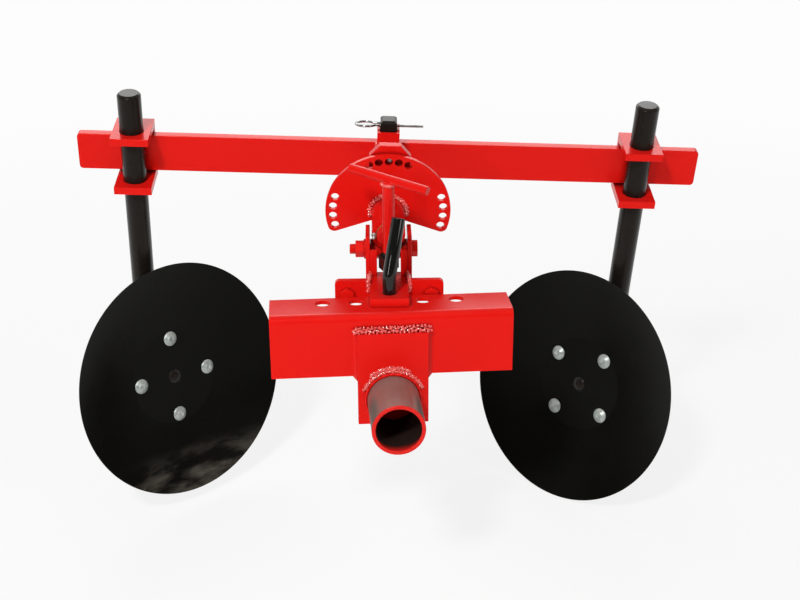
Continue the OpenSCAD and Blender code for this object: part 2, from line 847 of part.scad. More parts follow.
module index_sector() {
    top_angles = [for (i = [-top_pairs : top_pairs]) i * index_step];
    side_angles = [for (i = [0 : side_count - 1], s = [-1, 1]) s * (side_first + i * side_step)];
    color(RED) on_arm() translate([0, sector_y, roll_rise]) rotate([0, sector_turn, 0]) difference() {
        plate_xz(sector_t) sector_outline();
        for (a = concat(top_angles, side_angles))
            rotate([0, a, 0]) translate([0, -over, index_r]) rod_y(index_hole_d, sector_t + 2 * over);
        translate([0, -over, 0]) rod_y(roll_tube_d, sector_t + 2 * over);
    }
}

module screw_nut() {
    color(BLACK) on_screw() translate([0, 0, screw_nut_bottom]) difference() {
        rotate([0, 0, 30]) hex_z(screw_nut_af, screw_nut_h);
        translate([0, 0, -over]) cylinder(d = screw_d + 2 * screw_fit, h = screw_nut_h + 2 * over);
    }
}

module depth_screw() {
    color(BLACK) on_screw() {
        translate([0, 0, tip_centre_z]) {
            sphere(r = tip_r);
            cylinder(d = screw_d, h = rod_foot_z - tip_centre_z);
        }
    }
}

module handle_rod() {
    color(RED) on_screw() difference() {
        translate([0, 0, rod_foot_z]) cylinder(d = handle_d, h = tee_h - rod_foot_z);
        translate([0, 0, tee_h]) rotate([0, 0, tee_turn])
            translate([-handle_d, 0, 0]) rod_x(tee_d, 2 * handle_d);
    }
}

module tee_bar() {
    color(RED) on_screw() translate([0, 0, tee_h]) rotate([0, 0, tee_turn])
        translate([-tee_len / 2, 0, 0]) rod_x(tee_d, tee_len);
}

module roll_shaft() {
    front = tube_front_head - shaft_front;
    color(STEEL) on_head() difference() {
        union() {
            translate([0, front, 0]) rod_y(shaft_d, neck_y - front);
            translate([0, neck_y, 0]) rod_y(neck_d, post_y - post_w / 2 - neck_y);
        }
        translate([0, snap_y, 0]) ring_y(shaft_d + over, shaft_d - 2 * ring_groove, ring_t);
    }
}

module thrust_washers() {
    color(STEEL) on_head() for (y = [front_washer_y, rear_washer_y])
        translate([0, y, 0]) ring_y(thrust_d, shaft_d + 2 * run_fit, thrust_t);
}

module retaining_ring() {
    color(STEEL) on_head() translate([0, snap_y, 0]) ring_y(ring_d, shaft_d - 2 * ring_groove, ring_t);
}

module index_lug() {
    color(RED) on_head() translate([0, lug_y, 0]) difference() {
        plate_xz(lug_t) {
            circle(d = lug_w);
            polygon([[-lug_w / 2, 0], [lug_w / 2, 0], [lug_w / 2, lug_top - lug_shoulder],
                [lug_top_w / 2, lug_top], [-lug_top_w / 2, lug_top], [-lug_w / 2, lug_top - lug_shoulder]]);
        }
        translate([0, -over, 0]) rod_y(shaft_d, lug_t + 2 * over);
        translate([0, -over, index_r]) rod_y(index_pin_d + 2 * run_fit, lug_t + 2 * over);
    }
}

module index_pin() {
    front = sector_t + index_gap;
    color(STEEL) on_head() translate([0, front, index_r]) rod_y(index_pin_d, knob_y - front);
}

module index_knob() {
    color(BLACK) on_head() translate([0, knob_y, index_r]) rod_y(knob_d, knob_len);
}

module post() {
    half = post_w / 2;
    color(BLACK) on_head() translate([0, post_y, 0]) difference() {
        translate([-half, -half, -post_bottom]) cube([post_w, post_w, post_top + post_bottom]);
        for (a = [0 : 90 : 270])
            rotate([0, 0, a]) translate([half - post_chamfer, -post_w, post_top]) rotate([0, 45, 0])
                cube([post_w, 2 * post_w, post_w]);
        translate([-post_w, 0, clip_z]) rod_x(clip_d + 2 * clip_fit, 2 * post_w);
    }
}

module sleeve() {
    inner = sleeve_w - 2 * sleeve_wall;
    height = sleeve_top + sleeve_bottom;
    color(RED) on_head() translate([0, sleeve_y, -sleeve_bottom]) difference() {
        translate([-sleeve_w / 2, -sleeve_w / 2, 0]) cube([sleeve_w, sleeve_w, height]);
        translate([-inner / 2, -inner / 2, -over]) cube([inner, inner, height + 2 * over]);
        translate([-slot_w / 2, -sleeve_w, -over])
            cube([slot_w, sleeve_w, sleeve_bottom + neck_d / 2 + sleeve_fit + over]);
    }
}

module toolbar() {
    color(RED) on_head() translate([bar_shift - bar_len / 2, bar_y, bar_z - bar_h / 2])
        plate_xz(bar_t) rounded_rect(bar_len, bar_h, bar_r);
}

module r_clip() {
    color(ZINC) on_head() translate([0, post_y, clip_z]) rotate([-arm_pitch, 0, 0]) {
        start = -clip_loop_x + sqrt(pow(clip_loop_r, 2) - pow(clip_leg_gap / 2, 2));
        translate([-clip_loop_x, clip_leg_gap / 2, 0]) rotate_extrude()
            translate([clip_loop_r, 0]) circle(d = clip_d, $fn = 24);
        translate([start, 0, 0]) rod_x(clip_d, clip_reach - start);
        translate([start, clip_leg_gap, 0]) rod_x(clip_d, clip_short - start);
        for (end = [[clip_reach, 0, 0], [clip_short, clip_leg_gap, 0]])
            translate(end) sphere(d = clip_d);
    }
}

// Clamp round the toolbar, with the shank's axis at the origin
module clamp() {
    height = 2 * clamp_inner + 2 * clamp_t;
    depth = clamp_back_y + clamp_back_t - shank_y;
    translate([0, 0, bar_z]) difference() {
        translate([-clamp_w / 2, -clamp_front, -height / 2]) cube([clamp_w, clamp_front + depth, height]);
        translate([-clamp_w, -clamp_front - over, -clamp_inner])
            cube([2 * clamp_w, clamp_front + over + depth - clamp_back_t, 2 * clamp_inner]);
        translate([0, 0, -height]) cylinder(d = shank_d + 2 * shank_fit, h = 2 * height);
        rod_y(clamp_bolt_d + 2 * run_fit, depth + over);
    }
}

module clamp_bolt() {
    tip = bar_y + bar_t + clamp_back_gap / 2 - shank_y;
    head = clamp_back_y + clamp_back_t + clamp_bolt_free - shank_y;
    translate([0, 0, bar_z]) {
        translate([0, tip, 0]) rod_y(clamp_bolt_d, head - tip);
        translate([0, head, 0]) hex_y(clamp_bolt_af, clamp_head_h);
    }
}

module shank(top) {
    translate([0, 0, -knuckle_bottom])
        cylinder(d = shank_d, h = knuckle_bottom + top - shank_chamfer);
    translate([0, 0, top - shank_chamfer])
        cylinder(d1 = shank_d, d2 = shank_d - 2 * shank_chamfer, h = shank_chamfer);
}

// Turns a child from the axle frame upright, onto the shank's axis
module on_shank() {
    rotate([disc_tilt - 90, 0, 0]) translate([-axle_offset, 0, 0]) children();
}

// Knuckle with its stub axle, drawn in the axle frame
module knuckle() {
    difference() {
        union() {
            on_shank() translate([0, 0, -knuckle_h / 2]) cylinder(d = knuckle_d, h = knuckle_h);
            cylinder(d = shoulder_d, h = rear_bearing_z);
            cylinder(d = rear_seat_d, h = front_bearing_z - bearing_fit);
            cylinder(d = front_seat_d, h = axle_nut_z);
            cylinder(d = axle_thread_d, h = axle_end);
        }
        on_shank() {
            translate([0, 0, -knuckle_h]) cylinder(d = shank_d + 2 * knuckle_fit, h = 2 * knuckle_h);
            rod_y(knuckle_bolt_d + 2 * run_fit, knuckle_d);
        }
    }
}

module knuckle_bolt() {
    tip = shank_d / 2 + knuckle_fit;
    head = knuckle_d / 2 + knuckle_bolt_free;
    on_shank() {
        translate([0, tip, 0]) rod_y(knuckle_bolt_d, head - tip);
        translate([0, head, 0]) hex_y(knuckle_bolt_af, knuckle_head_h);
    }
}

module bearings() {
    width = bearing_w - bearing_fit;
    translate([0, 0, rib_z - width])
        ring_z(rear_bearing_d - 2 * bearing_fit, rear_seat_d + 2 * run_fit, width);
    translate([0, 0, front_bearing_z])
        ring_z(front_bearing_d - 2 * bearing_fit, front_seat_d + 2 * run_fit, width);
}

module axle_nut() {
    translate([0, 0, axle_nut_z]) difference() {
        hex_z(axle_nut_af, axle_nut_h);
        translate([0, 0, -over]) cylinder(d = axle_thread_d + 2 * run_fit, h = axle_nut_h + 2 * over);
    }
}

// Positions of the disc bolts round the axle
module at_disc_bolts(turn) {
    for (i = [0 : bolt_count - 1])
        rotate([0, 0, turn + i * 360 / bolt_count]) translate([0, bolt_circle_d / 2, 0]) children();
}

module hub(turn) {
    difference() {
        union() {
            translate([0, 0, hub_back]) cylinder(d = barrel_d, h = hub_face - hub_back);
            translate([0, 0, flange_back]) cylinder(d = flange_d, h = flange_t);
        }
        translate([0, 0, hub_back - over]) cylinder(d = rear_bearing_d, h = rib_z - hub_back + over);
        translate([0, 0, hub_back]) cylinder(d = rib_d, h = hub_face - hub_back);
        translate([0, 0, front_bearing_z])
            cylinder(d = front_bearing_d, h = hub_face - front_bearing_z + over);
        translate([0, 0, flange_back - over]) at_disc_bolts(turn)
            cylinder(d = disc_bolt_d + disc_bolt_fit, h = flange_t + 2 * over);
    }
}

module hub_cap() {
    translate([0, 0, hub_face - cap_rim_t]) cylinder(d = cap_rim_d, h = cap_rim_t);
    translate([0, 0, hub_face]) cylinder(d = cap_d, h = disc_t);
    dome_r = (pow(cap_d / 2, 2) + pow(cap_rise, 2)) / 2 / cap_rise;
    intersection() {
        translate([0, 0, disc_face + cap_rise - dome_r]) sphere(dome_r, $fn = 96);
        translate([0, 0, disc_face]) cylinder(d = cap_d, h = 2 * cap_rise);
    }
}

// Dished disc with its hollow side away from the hub
module dished_disc(turn) {
    sphere_z = disc_face + dish_rise;
    difference() {
        intersection() {
            translate([0, 0, sphere_z]) sphere(dish_sphere_r + disc_t, $fn = 200);
            translate([0, 0, hub_face]) cylinder(d = disc_d, h = disc_t + dish_depth, $fn = 160);
        }
        intersection() {
            translate([0, 0, sphere_z]) sphere(dish_sphere_r, $fn = 200);
            translate([0, 0, disc_face]) cylinder(d = disc_d + 2 * over, h = dish_depth + over, $fn = 160);
        }
        translate([0, 0, hub_face - over]) {
            cylinder(d = cap_d + 2 * cap_fit, h = disc_t + 2 * over);
            at_disc_bolts(turn) cylinder(d = disc_bolt_d + disc_bolt_fit, h = disc_t + 2 * over);
        }
    }
}

module disc_bolts(turn) {
    head_r = (pow(disc_head_d / 2, 2) + pow(disc_head_h, 2)) / 2 / disc_head_h;
    foot = flange_back - disc_nut_h - disc_bolt_tail;
    at_disc_bolts(turn) {
        translate([0, 0, foot]) cylinder(d = disc_bolt_d, h = disc_face - foot);
        intersection() {
            translate([0, 0, disc_face + disc_head_h - head_r]) sphere(head_r);
            translate([0, 0, disc_face]) cylinder(d = disc_head_d, h = 2 * disc_head_h);
        }
    }
}

module disc_nuts(turn) {
    translate([0, 0, flange_back - disc_nut_h]) at_disc_bolts(turn) difference() {
        hex_z(disc_nut_af, disc_nut_h);
        translate([0, 0, -over]) cylinder(d = disc_bolt_d + 2 * run_fit, h = disc_nut_h + 2 * over);
    }
}

module left_clamp() {
    color(RED) on_side(-1) clamp();
}

module left_clamp_bolt() {
    color(ZINC) on_side(-1) clamp_bolt();
}

module left_shank() {
    color(BLACK) on_side(-1) shank(left_shank_top);
}

module left_knuckle() {
    color(BLACK) on_axle(-1) knuckle();
}

module left_knuckle_bolt() {
    color(ZINC) on_axle(-1) knuckle_bolt();
}

module left_bearings() {
    color(STEEL) on_axle(-1) bearings();
}

module left_axle_nut() {
    color(ZINC) on_axle(-1) axle_nut();
}

module left_hub() {
    color(BLACK) on_axle(-1) hub(left_disc_turn);
}

module left_hub_cap() {
    color(BLACK) on_axle(-1) hub_cap();
}

module left_disc() {
    color(DISC_BLACK) on_axle(-1) dished_disc(left_disc_turn);
}

module left_disc_bolts() {
    color(ZINC) on_axle(-1) disc_bolts(left_disc_turn);
}

module left_disc_nuts() {
    color(ZINC) on_axle(-1) disc_nuts(left_disc_turn);
}

module right_clamp() {
    color(RED) on_side(1) clamp();
}

module right_clamp_bolt() {
    color(ZINC) on_side(1) clamp_bolt();
}

module right_shank() {
    color(BLACK) on_side(1) shank(right_shank_top);
}

module right_knuckle() {
    color(BLACK) on_axle(1) knuckle();
}

module right_knuckle_bolt() {
    color(ZINC) on_axle(1) knuckle_bolt();
}

module right_bearings() {
    color(STEEL) on_axle(1) bearings();
}

module right_axle_nut() {
    color(ZINC) on_axle(1) axle_nut();
}

module right_hub() {
    color(BLACK) on_axle(1) hub(right_disc_turn);
}

module right_hub_cap() {
    color(BLACK) on_axle(1) hub_cap();
}

module right_disc() {
    color(DISC_BLACK) on_axle(1) dished_disc(right_disc_turn);
}

module right_disc_bolts() {
    color(ZINC) on_axle(1) disc_bolts(right_disc_turn);
}

module right_disc_nuts() {
    color(ZINC) on_axle(1) disc_nuts(right_disc_turn);
}

hitch_tube();
front_plate();
angle_bar();
hitch_pin();
tongue_plate();
left_cheek();
right_cheek();
tongue_web();
left_wing();
right_wing();
swing_set_bolts();
swing_lock_nuts();
pivot_bolt();
pivot_nut();
pivot_washer();
pivot_housing();
pivot_bush();
grease_nipple();
roll_tube();
roll_bushes();
index_sector();
screw_nut();
depth_screw();
handle_rod();
tee_bar();
roll_shaft();
thrust_washers();
retaining_ring();
index_lug();
index_pin();
index_knob();
post();
sleeve();
toolbar();
r_clip();
left_clamp();
left_clamp_bolt();
left_shank();
left_knuckle();
left_knuckle_bolt();
left_bearings();
left_axle_nut();
left_hub();
left_hub_cap();
left_disc();
left_disc_bolts();
left_disc_nuts();
right_clamp();
right_clamp_bolt();
right_shank();
right_knuckle();
right_knuckle_bolt();
right_bearings();
right_axle_nut();
right_hub();
right_hub_cap();
right_disc();
right_disc_bolts();
right_disc_nuts();
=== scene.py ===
import json
import math

import bmesh
import bpy
from mathutils import Matrix, Vector


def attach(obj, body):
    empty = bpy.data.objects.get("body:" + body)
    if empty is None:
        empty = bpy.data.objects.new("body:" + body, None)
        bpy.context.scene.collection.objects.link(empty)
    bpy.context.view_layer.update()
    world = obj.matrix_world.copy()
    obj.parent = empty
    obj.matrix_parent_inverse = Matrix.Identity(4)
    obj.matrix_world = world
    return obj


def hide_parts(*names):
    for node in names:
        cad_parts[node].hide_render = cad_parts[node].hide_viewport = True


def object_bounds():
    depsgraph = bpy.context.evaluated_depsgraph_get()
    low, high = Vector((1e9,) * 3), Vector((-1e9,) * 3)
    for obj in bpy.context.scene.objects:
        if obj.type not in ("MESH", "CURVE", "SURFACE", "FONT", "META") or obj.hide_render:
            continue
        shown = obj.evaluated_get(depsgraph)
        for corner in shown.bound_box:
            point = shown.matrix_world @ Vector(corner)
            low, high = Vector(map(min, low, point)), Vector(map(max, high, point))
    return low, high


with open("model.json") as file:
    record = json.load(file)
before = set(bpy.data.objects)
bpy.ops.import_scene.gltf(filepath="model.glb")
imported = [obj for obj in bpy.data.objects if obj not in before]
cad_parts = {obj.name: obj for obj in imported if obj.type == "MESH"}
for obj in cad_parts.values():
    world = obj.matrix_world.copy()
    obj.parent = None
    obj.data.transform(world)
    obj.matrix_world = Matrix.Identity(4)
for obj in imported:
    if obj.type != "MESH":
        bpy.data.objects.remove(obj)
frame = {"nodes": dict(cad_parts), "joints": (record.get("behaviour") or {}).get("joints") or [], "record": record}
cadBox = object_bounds()

mm = 0.001
sides = ("left", "right")
signs = ((-1, "Left"), (1, "Right"))
alongX, alongY, alongZ = Vector((1, 0, 0)), Vector((0, 1, 0)), Vector((0, 0, 1))
joints = {joint["name"]: joint for joint in frame["joints"]}
record = frame["record"]
bodyOf = {node: body for body, nodes in record["behaviour"]["bodies"].items() for node in nodes}
slotOf = {part["node"]: part["material_slot"] for part in record["subparts"]}


def metres(size):
    return tuple(metres(each) for each in size) if isinstance(size, tuple) else size * mm


def lengths(**given):
    # sizes in millimetres, kept in metres
    return {name: metres(size) for name, size in given.items()}


# frames of the moving groups, taken from the joints at rest
def placeOf(joint):
    return Vector(joints[joint]["pos_m"])


def axisOf(joint):
    return Vector(joints[joint]["axis"])


def axesAt(origin, xAxis, zAxis):
    z = Vector(zAxis).normalized()
    y = z.cross(Vector(xAxis)).normalized()
    x = y.cross(z)
    placed = Matrix((x, y, z)).transposed().to_4x4()
    placed.translation = Vector(origin)
    return placed


hitchFrame = Matrix.Identity(4)
tongueFrame = axesAt(placeOf("tongue_swing"), axisOf("arm_pitch"), alongZ)
armFrame = axesAt(placeOf("arm_pitch"), axisOf("arm_pitch"), axisOf("depth_screw_travel"))
screwFrame = axesAt(placeOf("tee_handle_turn"), axisOf("arm_pitch"), axisOf("tee_handle_turn"))
headFrame = axesAt(placeOf("head_roll"), axisOf("left_clamp_slide"), axisOf("left_shank_height"))
discFrame = {}  # origin on the flat middle of the disc, Z out of the hollow
clampFrame = {}  # origin on the shank's axis at the roll axis' height
for side in sides:
    spin, toe = side + "_disc_spin", side + "_disc_toe"
    discFrame[side] = axesAt(placeOf(spin), alongZ.cross(axisOf(spin)), axisOf(spin))
    clampFrame[side] = axesAt(placeOf(toe), axisOf(side + "_clamp_slide"), axisOf(toe))


def reach(node, placed):
    # lowest and highest corner of a node, measured in one of those frames
    turned = placed.inverted()
    points = [turned @ v.co for v in frame["nodes"][node].data.vertices]
    low = Vector([min(p[i] for p in points) for i in range(3)])
    high = Vector([max(p[i] for p in points) for i in range(3)])
    return low, high


def directed(placed, direction):
    return placed.to_3x3() @ Vector(direction)


def facing(placed, direction):
    return directed(placed, direction).normalized()


# node helpers, for shaders and geometry alike, and the tree sockets that aren't plain numbers
kinds = {"colour": "Color", "Facing": "Vector", "Seed": "Int", "Sides": "Int", "Count": "Int",
         "Fastener": "Object", "Finish": "Material", "Geometry": "Geometry"}


def setInputs(node, values):
    for key, value in values.items():
        if isinstance(value, bpy.types.NodeSocket):
            node.id_data.links.new(value, node.inputs[key])
        else:
            node.inputs[key].default_value = value


def addNode(tree, kind, values=None, **settings):
    node = tree.nodes.new(kind)
    for key, value in settings.items():
        setattr(node, key, value)
    setInputs(node, values or {})
    return node


def fedNode(kind, values, **settings):
    # added to the tree of the first socket that feeds it
    tree = next(v.id_data for v in values.values() if isinstance(v, bpy.types.NodeSocket))
    return addNode(tree, kind, values, **settings)


def outOf(kind, values, **settings):
    return fedNode(kind, values, **settings).outputs[0]


def addSockets(tree, inputs, outputs):
    # the tree's own sockets, and the two nodes that show them inside
    for way, labels in (("INPUT", inputs), ("OUTPUT", outputs)):
        for label in labels:
            kind = "NodeSocket" + kinds.get(label, "Float")
            tree.interface.new_socket(label, in_out=way, socket_type=kind)
    return tree.nodes.new("NodeGroupInput").outputs, tree.nodes.new("NodeGroupOutput")


def compute(operation, first, second=0.0):
    return outOf("ShaderNodeMath", {0: first, 1: second}, operation=operation)


def product(first, *others):
    for other in others:
        first = compute("MULTIPLY", first, other)
    return first


def combine(operation, first, second):
    step = fedNode("ShaderNodeVectorMath", {0: first, 1: second}, operation=operation)
    return step.outputs["Value" if operation == "DOT_PRODUCT" else "Vector"]


def scaled(given, amount):
    return outOf("ShaderNodeVectorMath", {0: given, "Scale": amount}, operation="SCALE")


# detail and roughness of each kind of noise, and the middle that it keeps to
noises = {"broken": (4.0, 0.6), "cloudy": (5.0, 0.55), "peel": (2.0, 0.45), "drifting": (6.0, 0.65),
          "streaky": (2.0, 0.5), "smeared": (4.0, 0.55), "patchy": (5.0, 0.6), "grainy": (3.0, 0.6),
          "lumpy": (4.0, 0.5)}
noiseMiddle = 0.5
# between which values each mask rises
bands = {"wornPatches": (0.42, 0.62), "wornEdges": (0.03, 0.22), "facesUp": (0.2, 0.95),
         "drifts": (0.35, 0.75), "scratches": (0.68, 0.74), "corners": (0.22, 0.75),
         "cloud": (0.3, 0.7), "plateCloud": (0.25, 0.75)}
# roughness that dust and scratches add, and what all finishes have in common
dustRough, scratchRough = 0.5, 0.25
rippleDepth, grainDepth = 0.2 * mm, 0.1 * mm
plateBreakup, wearSamples, cornerSamples = 300.0, 6, 8
# turn and stretch of the two noises that scratches come from
scratchGrains = (((0.4, 0.9, 0.2), (900.0, 40.0, 60.0)), ((1.2, 0.3, 0.8), (50.0, 1000.0, 45.0)))


# shader helpers
def objectPlace(tree):
    return addNode(tree, "ShaderNodeTexCoord").outputs["Object"]


def split(given):
    return fedNode("ShaderNodeSeparateXYZ", {0: given}).outputs


def mixColours(factor, first, second, blend="MIX"):
    sockets = {0: factor, 6: first, 7: second}
    return fedNode("ShaderNodeMix", sockets, data_type="RGBA", blend_type=blend).outputs[2]


def ramp(value, band, toLow=0.0, toHigh=1.0):
    sockets = {0: value, 1: band[0], 2: band[1], 3: toLow, 4: toHigh}
    return outOf("ShaderNodeMapRange", sockets, interpolation_type="SMOOTHSTEP")


def noiseOn(place, scale, kind):
    detail, rough = noises[kind]
    sockets = {"Vector": place, "Scale": scale, "Detail": detail, "Roughness": rough}
    return outOf("ShaderNodeTexNoise", sockets)


def stretched(place, stretch, turn=(0, 0, 0)):
    return outOf("ShaderNodeMapping", {"Vector": place, "Rotation": turn, "Scale": stretch})


def unevenly(cloud, band, look):
    middle, spread = look["roughness"], look["uneven"]
    return ramp(cloud, band, middle - spread, middle + spread)


def bumpFrom(height, strength, distance):
    sockets = {"Height": height, "Strength": strength, "Distance": distance}
    return outOf("ShaderNodeBump", sockets)


def newGroup(name, inputs, outputs=("mask",)):
    group = bpy.data.node_groups.new(name, "ShaderNodeTree")
    return group, *addSockets(group, inputs, outputs)


def useGroup(tree, group, look):
    # the look has a value for each of the group's inputs
    node = addNode(tree, "ShaderNodeGroup", node_tree=group)
    setInputs(node, {socket.name: look[socket.name] for socket in node.inputs})
    return node.outputs


def newMaterial(name):
    made = bpy.data.materials.new(name)
    made.use_nodes = True
    return made, made.node_tree, made.node_tree.nodes["Principled BSDF"]


def makeEdgeWear():
    # worn edges, and on welds painted glints (painted highlights): where a rounded normal leaves the flat one,
    # broken up by noise
    group, given, made = newGroup("edgeWear", ("wearRadius", "wear", "breakup"))
    rounded = outOf("ShaderNodeBevel", {"Radius": given["wearRadius"]}, samples=wearSamples)
    flat = addNode(group, "ShaderNodeNewGeometry").outputs["Normal"]
    turned = compute("SUBTRACT", 1.0, combine("DOT_PRODUCT", rounded, flat))
    patches = ramp(noiseOn(objectPlace(group), given["breakup"], "broken"), bands["wornPatches"])
    setInputs(made, {"mask": product(ramp(turned, bands["wornEdges"]), patches, given["wear"])})
    return group


def makePaintSkin():
    # sprayed paint: slow change of shade, and the ripple that it dries with
    inputs, outputs = ("colour", "shade", "patch", "peel"), ("colour", "ripple", "cloud")
    group, given, made = newGroup("paintSkin", inputs, outputs)
    place = objectPlace(group)
    cloud = noiseOn(place, given["patch"], "cloudy")
    spread = compute("SUBTRACT", 1.0, given["shade"])
    level = compute("ADD", given["shade"], product(spread, compute("ADD", cloud, noiseMiddle)))
    grey = outOf("ShaderNodeCombineColor", {0: level, 1: level, 2: level})
    shaded = mixColours(1.0, given["colour"], grey, "MULTIPLY")
    ripple = noiseOn(place, given["peel"], "peel")
    setInputs(made, {"colour": shaded, "ripple": ripple, "cloud": cloud})
    return group


def makeSettledDust():
    # thin dust on what faces up, in drifts
    group, given, made = newGroup("settledDust", ("dust", "drift"))
    faces = addNode(group, "ShaderNodeNewGeometry").outputs["Normal"]
    upward = ramp(split(faces)["Z"], bands["facesUp"])
    drifts = ramp(noiseOn(objectPlace(group), given["drift"], "drifting"), bands["drifts"])
    setInputs(made, {"mask": product(upward, drifts, given["dust"])})
    return group


def makeFineScratches():
    # short scratches in every direction, from two noises that are turned and stretched
    group, given, made = newGroup("fineScratches", ("scratches",))
    place = objectPlace(group)
    found = []
    for turn, stretch in scratchGrains:
        streaks = noiseOn(stretched(place, stretch, turn), 1.0, "streaky")
        found.append(ramp(streaks, bands["scratches"]))
    setInputs(made, {"mask": product(compute("MAXIMUM", *found), given["scratches"])})
    return group


def makeCornerGrime():
    # painted shade: darker colour in corners that little light reaches, from ambient occlusion
    group, given, made = newGroup("cornerGrime", ("grimeReach", "grime"))
    light = fedNode("ShaderNodeAmbientOcclusion", {"Distance": given["grimeReach"]}, samples=cornerSamples)
    closed = ramp(compute("SUBTRACT", 1.0, light.outputs["AO"]), bands["corners"])
    setInputs(made, {"mask": product(closed, given["grime"])})
    return group


edgeWear = makeEdgeWear()
paintSkin = makePaintSkin()
settledDust = makeSettledDust()
fineScratches = makeFineScratches()
cornerGrime = makeCornerGrime()
print("shader groups:", len(bpy.data.node_groups))


def smearMask(tree, look):
    # painted reflection: lighter streaks low on one side of the disc, drawn out across the fall
    place = objectPlace(tree)
    parts = split(place)
    streaks = noiseOn(stretched(place, look["stretch"], look["turn"]), 1.0, "smeared")
    low = ramp(parts["Z"], look["height"])
    beside = ramp(parts["X"], look["across"])
    return product(low, beside, ramp(streaks, look["streaks"]), look["amount"])


redLook = {
    "colour": (0.76, 0.0085, 0.0060, 1), "shade": 0.92, "patch": 7.0, "peel": 380.0, "ripple": 0.07,
    "under": (0.70, 0.10, 0.075, 1), "wear": 0.16, "wearRadius": 1.0 * mm, "breakup": 260.0,
    "scratches": 0.02, "dustColour": (0.62, 0.16, 0.12, 1), "dust": 0.05, "drift": 40.0,
    # painted shade: colour, amount and reach of the darkening in corners
    "grimeColour": (0.16, 0.003, 0.002, 1), "grime": 0.75, "grimeReach": 12 * mm,
    "roughness": 0.24, "uneven": 0.04, "specular": 0.5, "tint": (1, 0.16, 0.13, 1),
    "coat": 0.0, "coatRoughness": 0.1,
}


def paintMaterial(name, **changes):
    # one sprayed or dipped paint, with its ripple, worn edges, scratches, dust, painted shade in corners and,
    # where the look has one, a painted reflection; on welds the worn-edge mask paints glints (painted highlights)
    look = {**redLook, **changes}
    made, tree, shader = newMaterial(name)
    skin = useGroup(tree, paintSkin, look)
    dust = useGroup(tree, settledDust, look)["mask"]
    layers = [
        (useGroup(tree, edgeWear, look)["mask"], look["under"]),
        (useGroup(tree, fineScratches, look)["mask"], look["under"]),
        (dust, look["dustColour"]),
        # painted shade in corners
        (useGroup(tree, cornerGrime, look)["mask"], look["grimeColour"]),
    ]
    # painted reflection, where the look has one
    if "smear" in look:
        layers.append((smearMask(tree, look["smear"]), look["smear"]["colour"]))
    painted = skin["colour"]
    for mask, cover in layers:
        painted = mixColours(mask, painted, cover)
    uneven = unevenly(skin["cloud"], bands["cloud"], look)
    setInputs(shader, {
        "Base Color": painted,
        "Roughness": compute("ADD", uneven, product(dust, dustRough)),
        "Normal": bumpFrom(skin["ripple"], look["ripple"], rippleDepth),
        "Specular IOR Level": look["specular"],
        "Specular Tint": look["tint"],  # weaker face on, full along the surface
        "Coat Weight": look["coat"],
        "Coat Roughness": look["coatRoughness"],
    })
    return made


# painted shade colour for the corners of the black paints
blackGrime = (0.003, 0.0025, 0.002, 1)
redPaint = paintMaterial("redPaint")
# painted highlights: on the weld the worn-edge mask covers most of the bead with a pale pink colour that stands in
# for glints; the light red base colour is partly the weld's own colour and partly painted light that keeps its
# unlit parts light
redWeld = paintMaterial(
    "redWeld", colour=(0.80, 0.050, 0.040, 1), shade=0.9, patch=160.0, peel=800.0, ripple=0.25,
    under=(1.0, 0.66, 0.60, 1), wear=0.9, scratches=0.0, grime=0.0,
    roughness=0.12, specular=1.0, tint=(1, 1, 1, 1), coat=1.0, coatRoughness=0.04)
blackPaint = paintMaterial(
    "blackPaint", colour=(0.0125, 0.0100, 0.0080, 1), shade=0.6, patch=26.0, peel=520.0, ripple=0.12,
    under=(0.10, 0.09, 0.08, 1), wear=0.45, wearRadius=1.6 * mm, scratches=0.06, grimeColour=blackGrime,
    dustColour=(0.05, 0.042, 0.034, 1), dust=0.15, roughness=0.24, uneven=0.06, tint=(0.16, 0.15, 0.14, 1))
pinBlack = paintMaterial(
    "pinBlack", colour=(0.0045, 0.0045, 0.0042, 1), shade=0.7, patch=60.0, peel=260.0, ripple=0.07,
    under=(0.10, 0.10, 0.10, 1), wear=0.3, scratches=0.05, grimeColour=blackGrime,
    dustColour=(0.04, 0.036, 0.032, 1), dust=0.02, roughness=0.05, uneven=0.02, tint=(0.75, 0.75, 0.72, 1))
discBlack = paintMaterial(
    "discBlack", colour=(0.0045, 0.0044, 0.0036, 1), shade=0.55, patch=5.0, peel=300.0, ripple=0.04,
    under=(0.05, 0.048, 0.042, 1), wear=0.6, scratches=0.03, grimeColour=blackGrime,
    dustColour=(0.030, 0.020, 0.012, 1), dust=0.30, drift=9.0,
    roughness=0.22, uneven=0.06, tint=(0.05, 0.05, 0.045, 1),
    # painted reflection: pale brownish-grey streaks low on the left disc
    smear={"colour": (0.105, 0.095, 0.078, 1), "stretch": (14.0, 14.0, 46.0), "turn": (0.0, 0.5, 0.0),
           "streaks": (0.42, 0.72), "height": (-0.19, -0.25), "across": (-0.12, -0.2), "amount": 0.9})


def oversprayed(tree, look):
    # where paint reaches over a bare end, with a ragged edge across an axis
    place = objectPlace(tree)
    along = combine("DOT_PRODUCT", place, look["axis"])
    ragged = product(noiseOn(place, look["patch"], "broken"), look["ragged"])
    return ramp(compute("ADD", along, ragged), look["edge"])


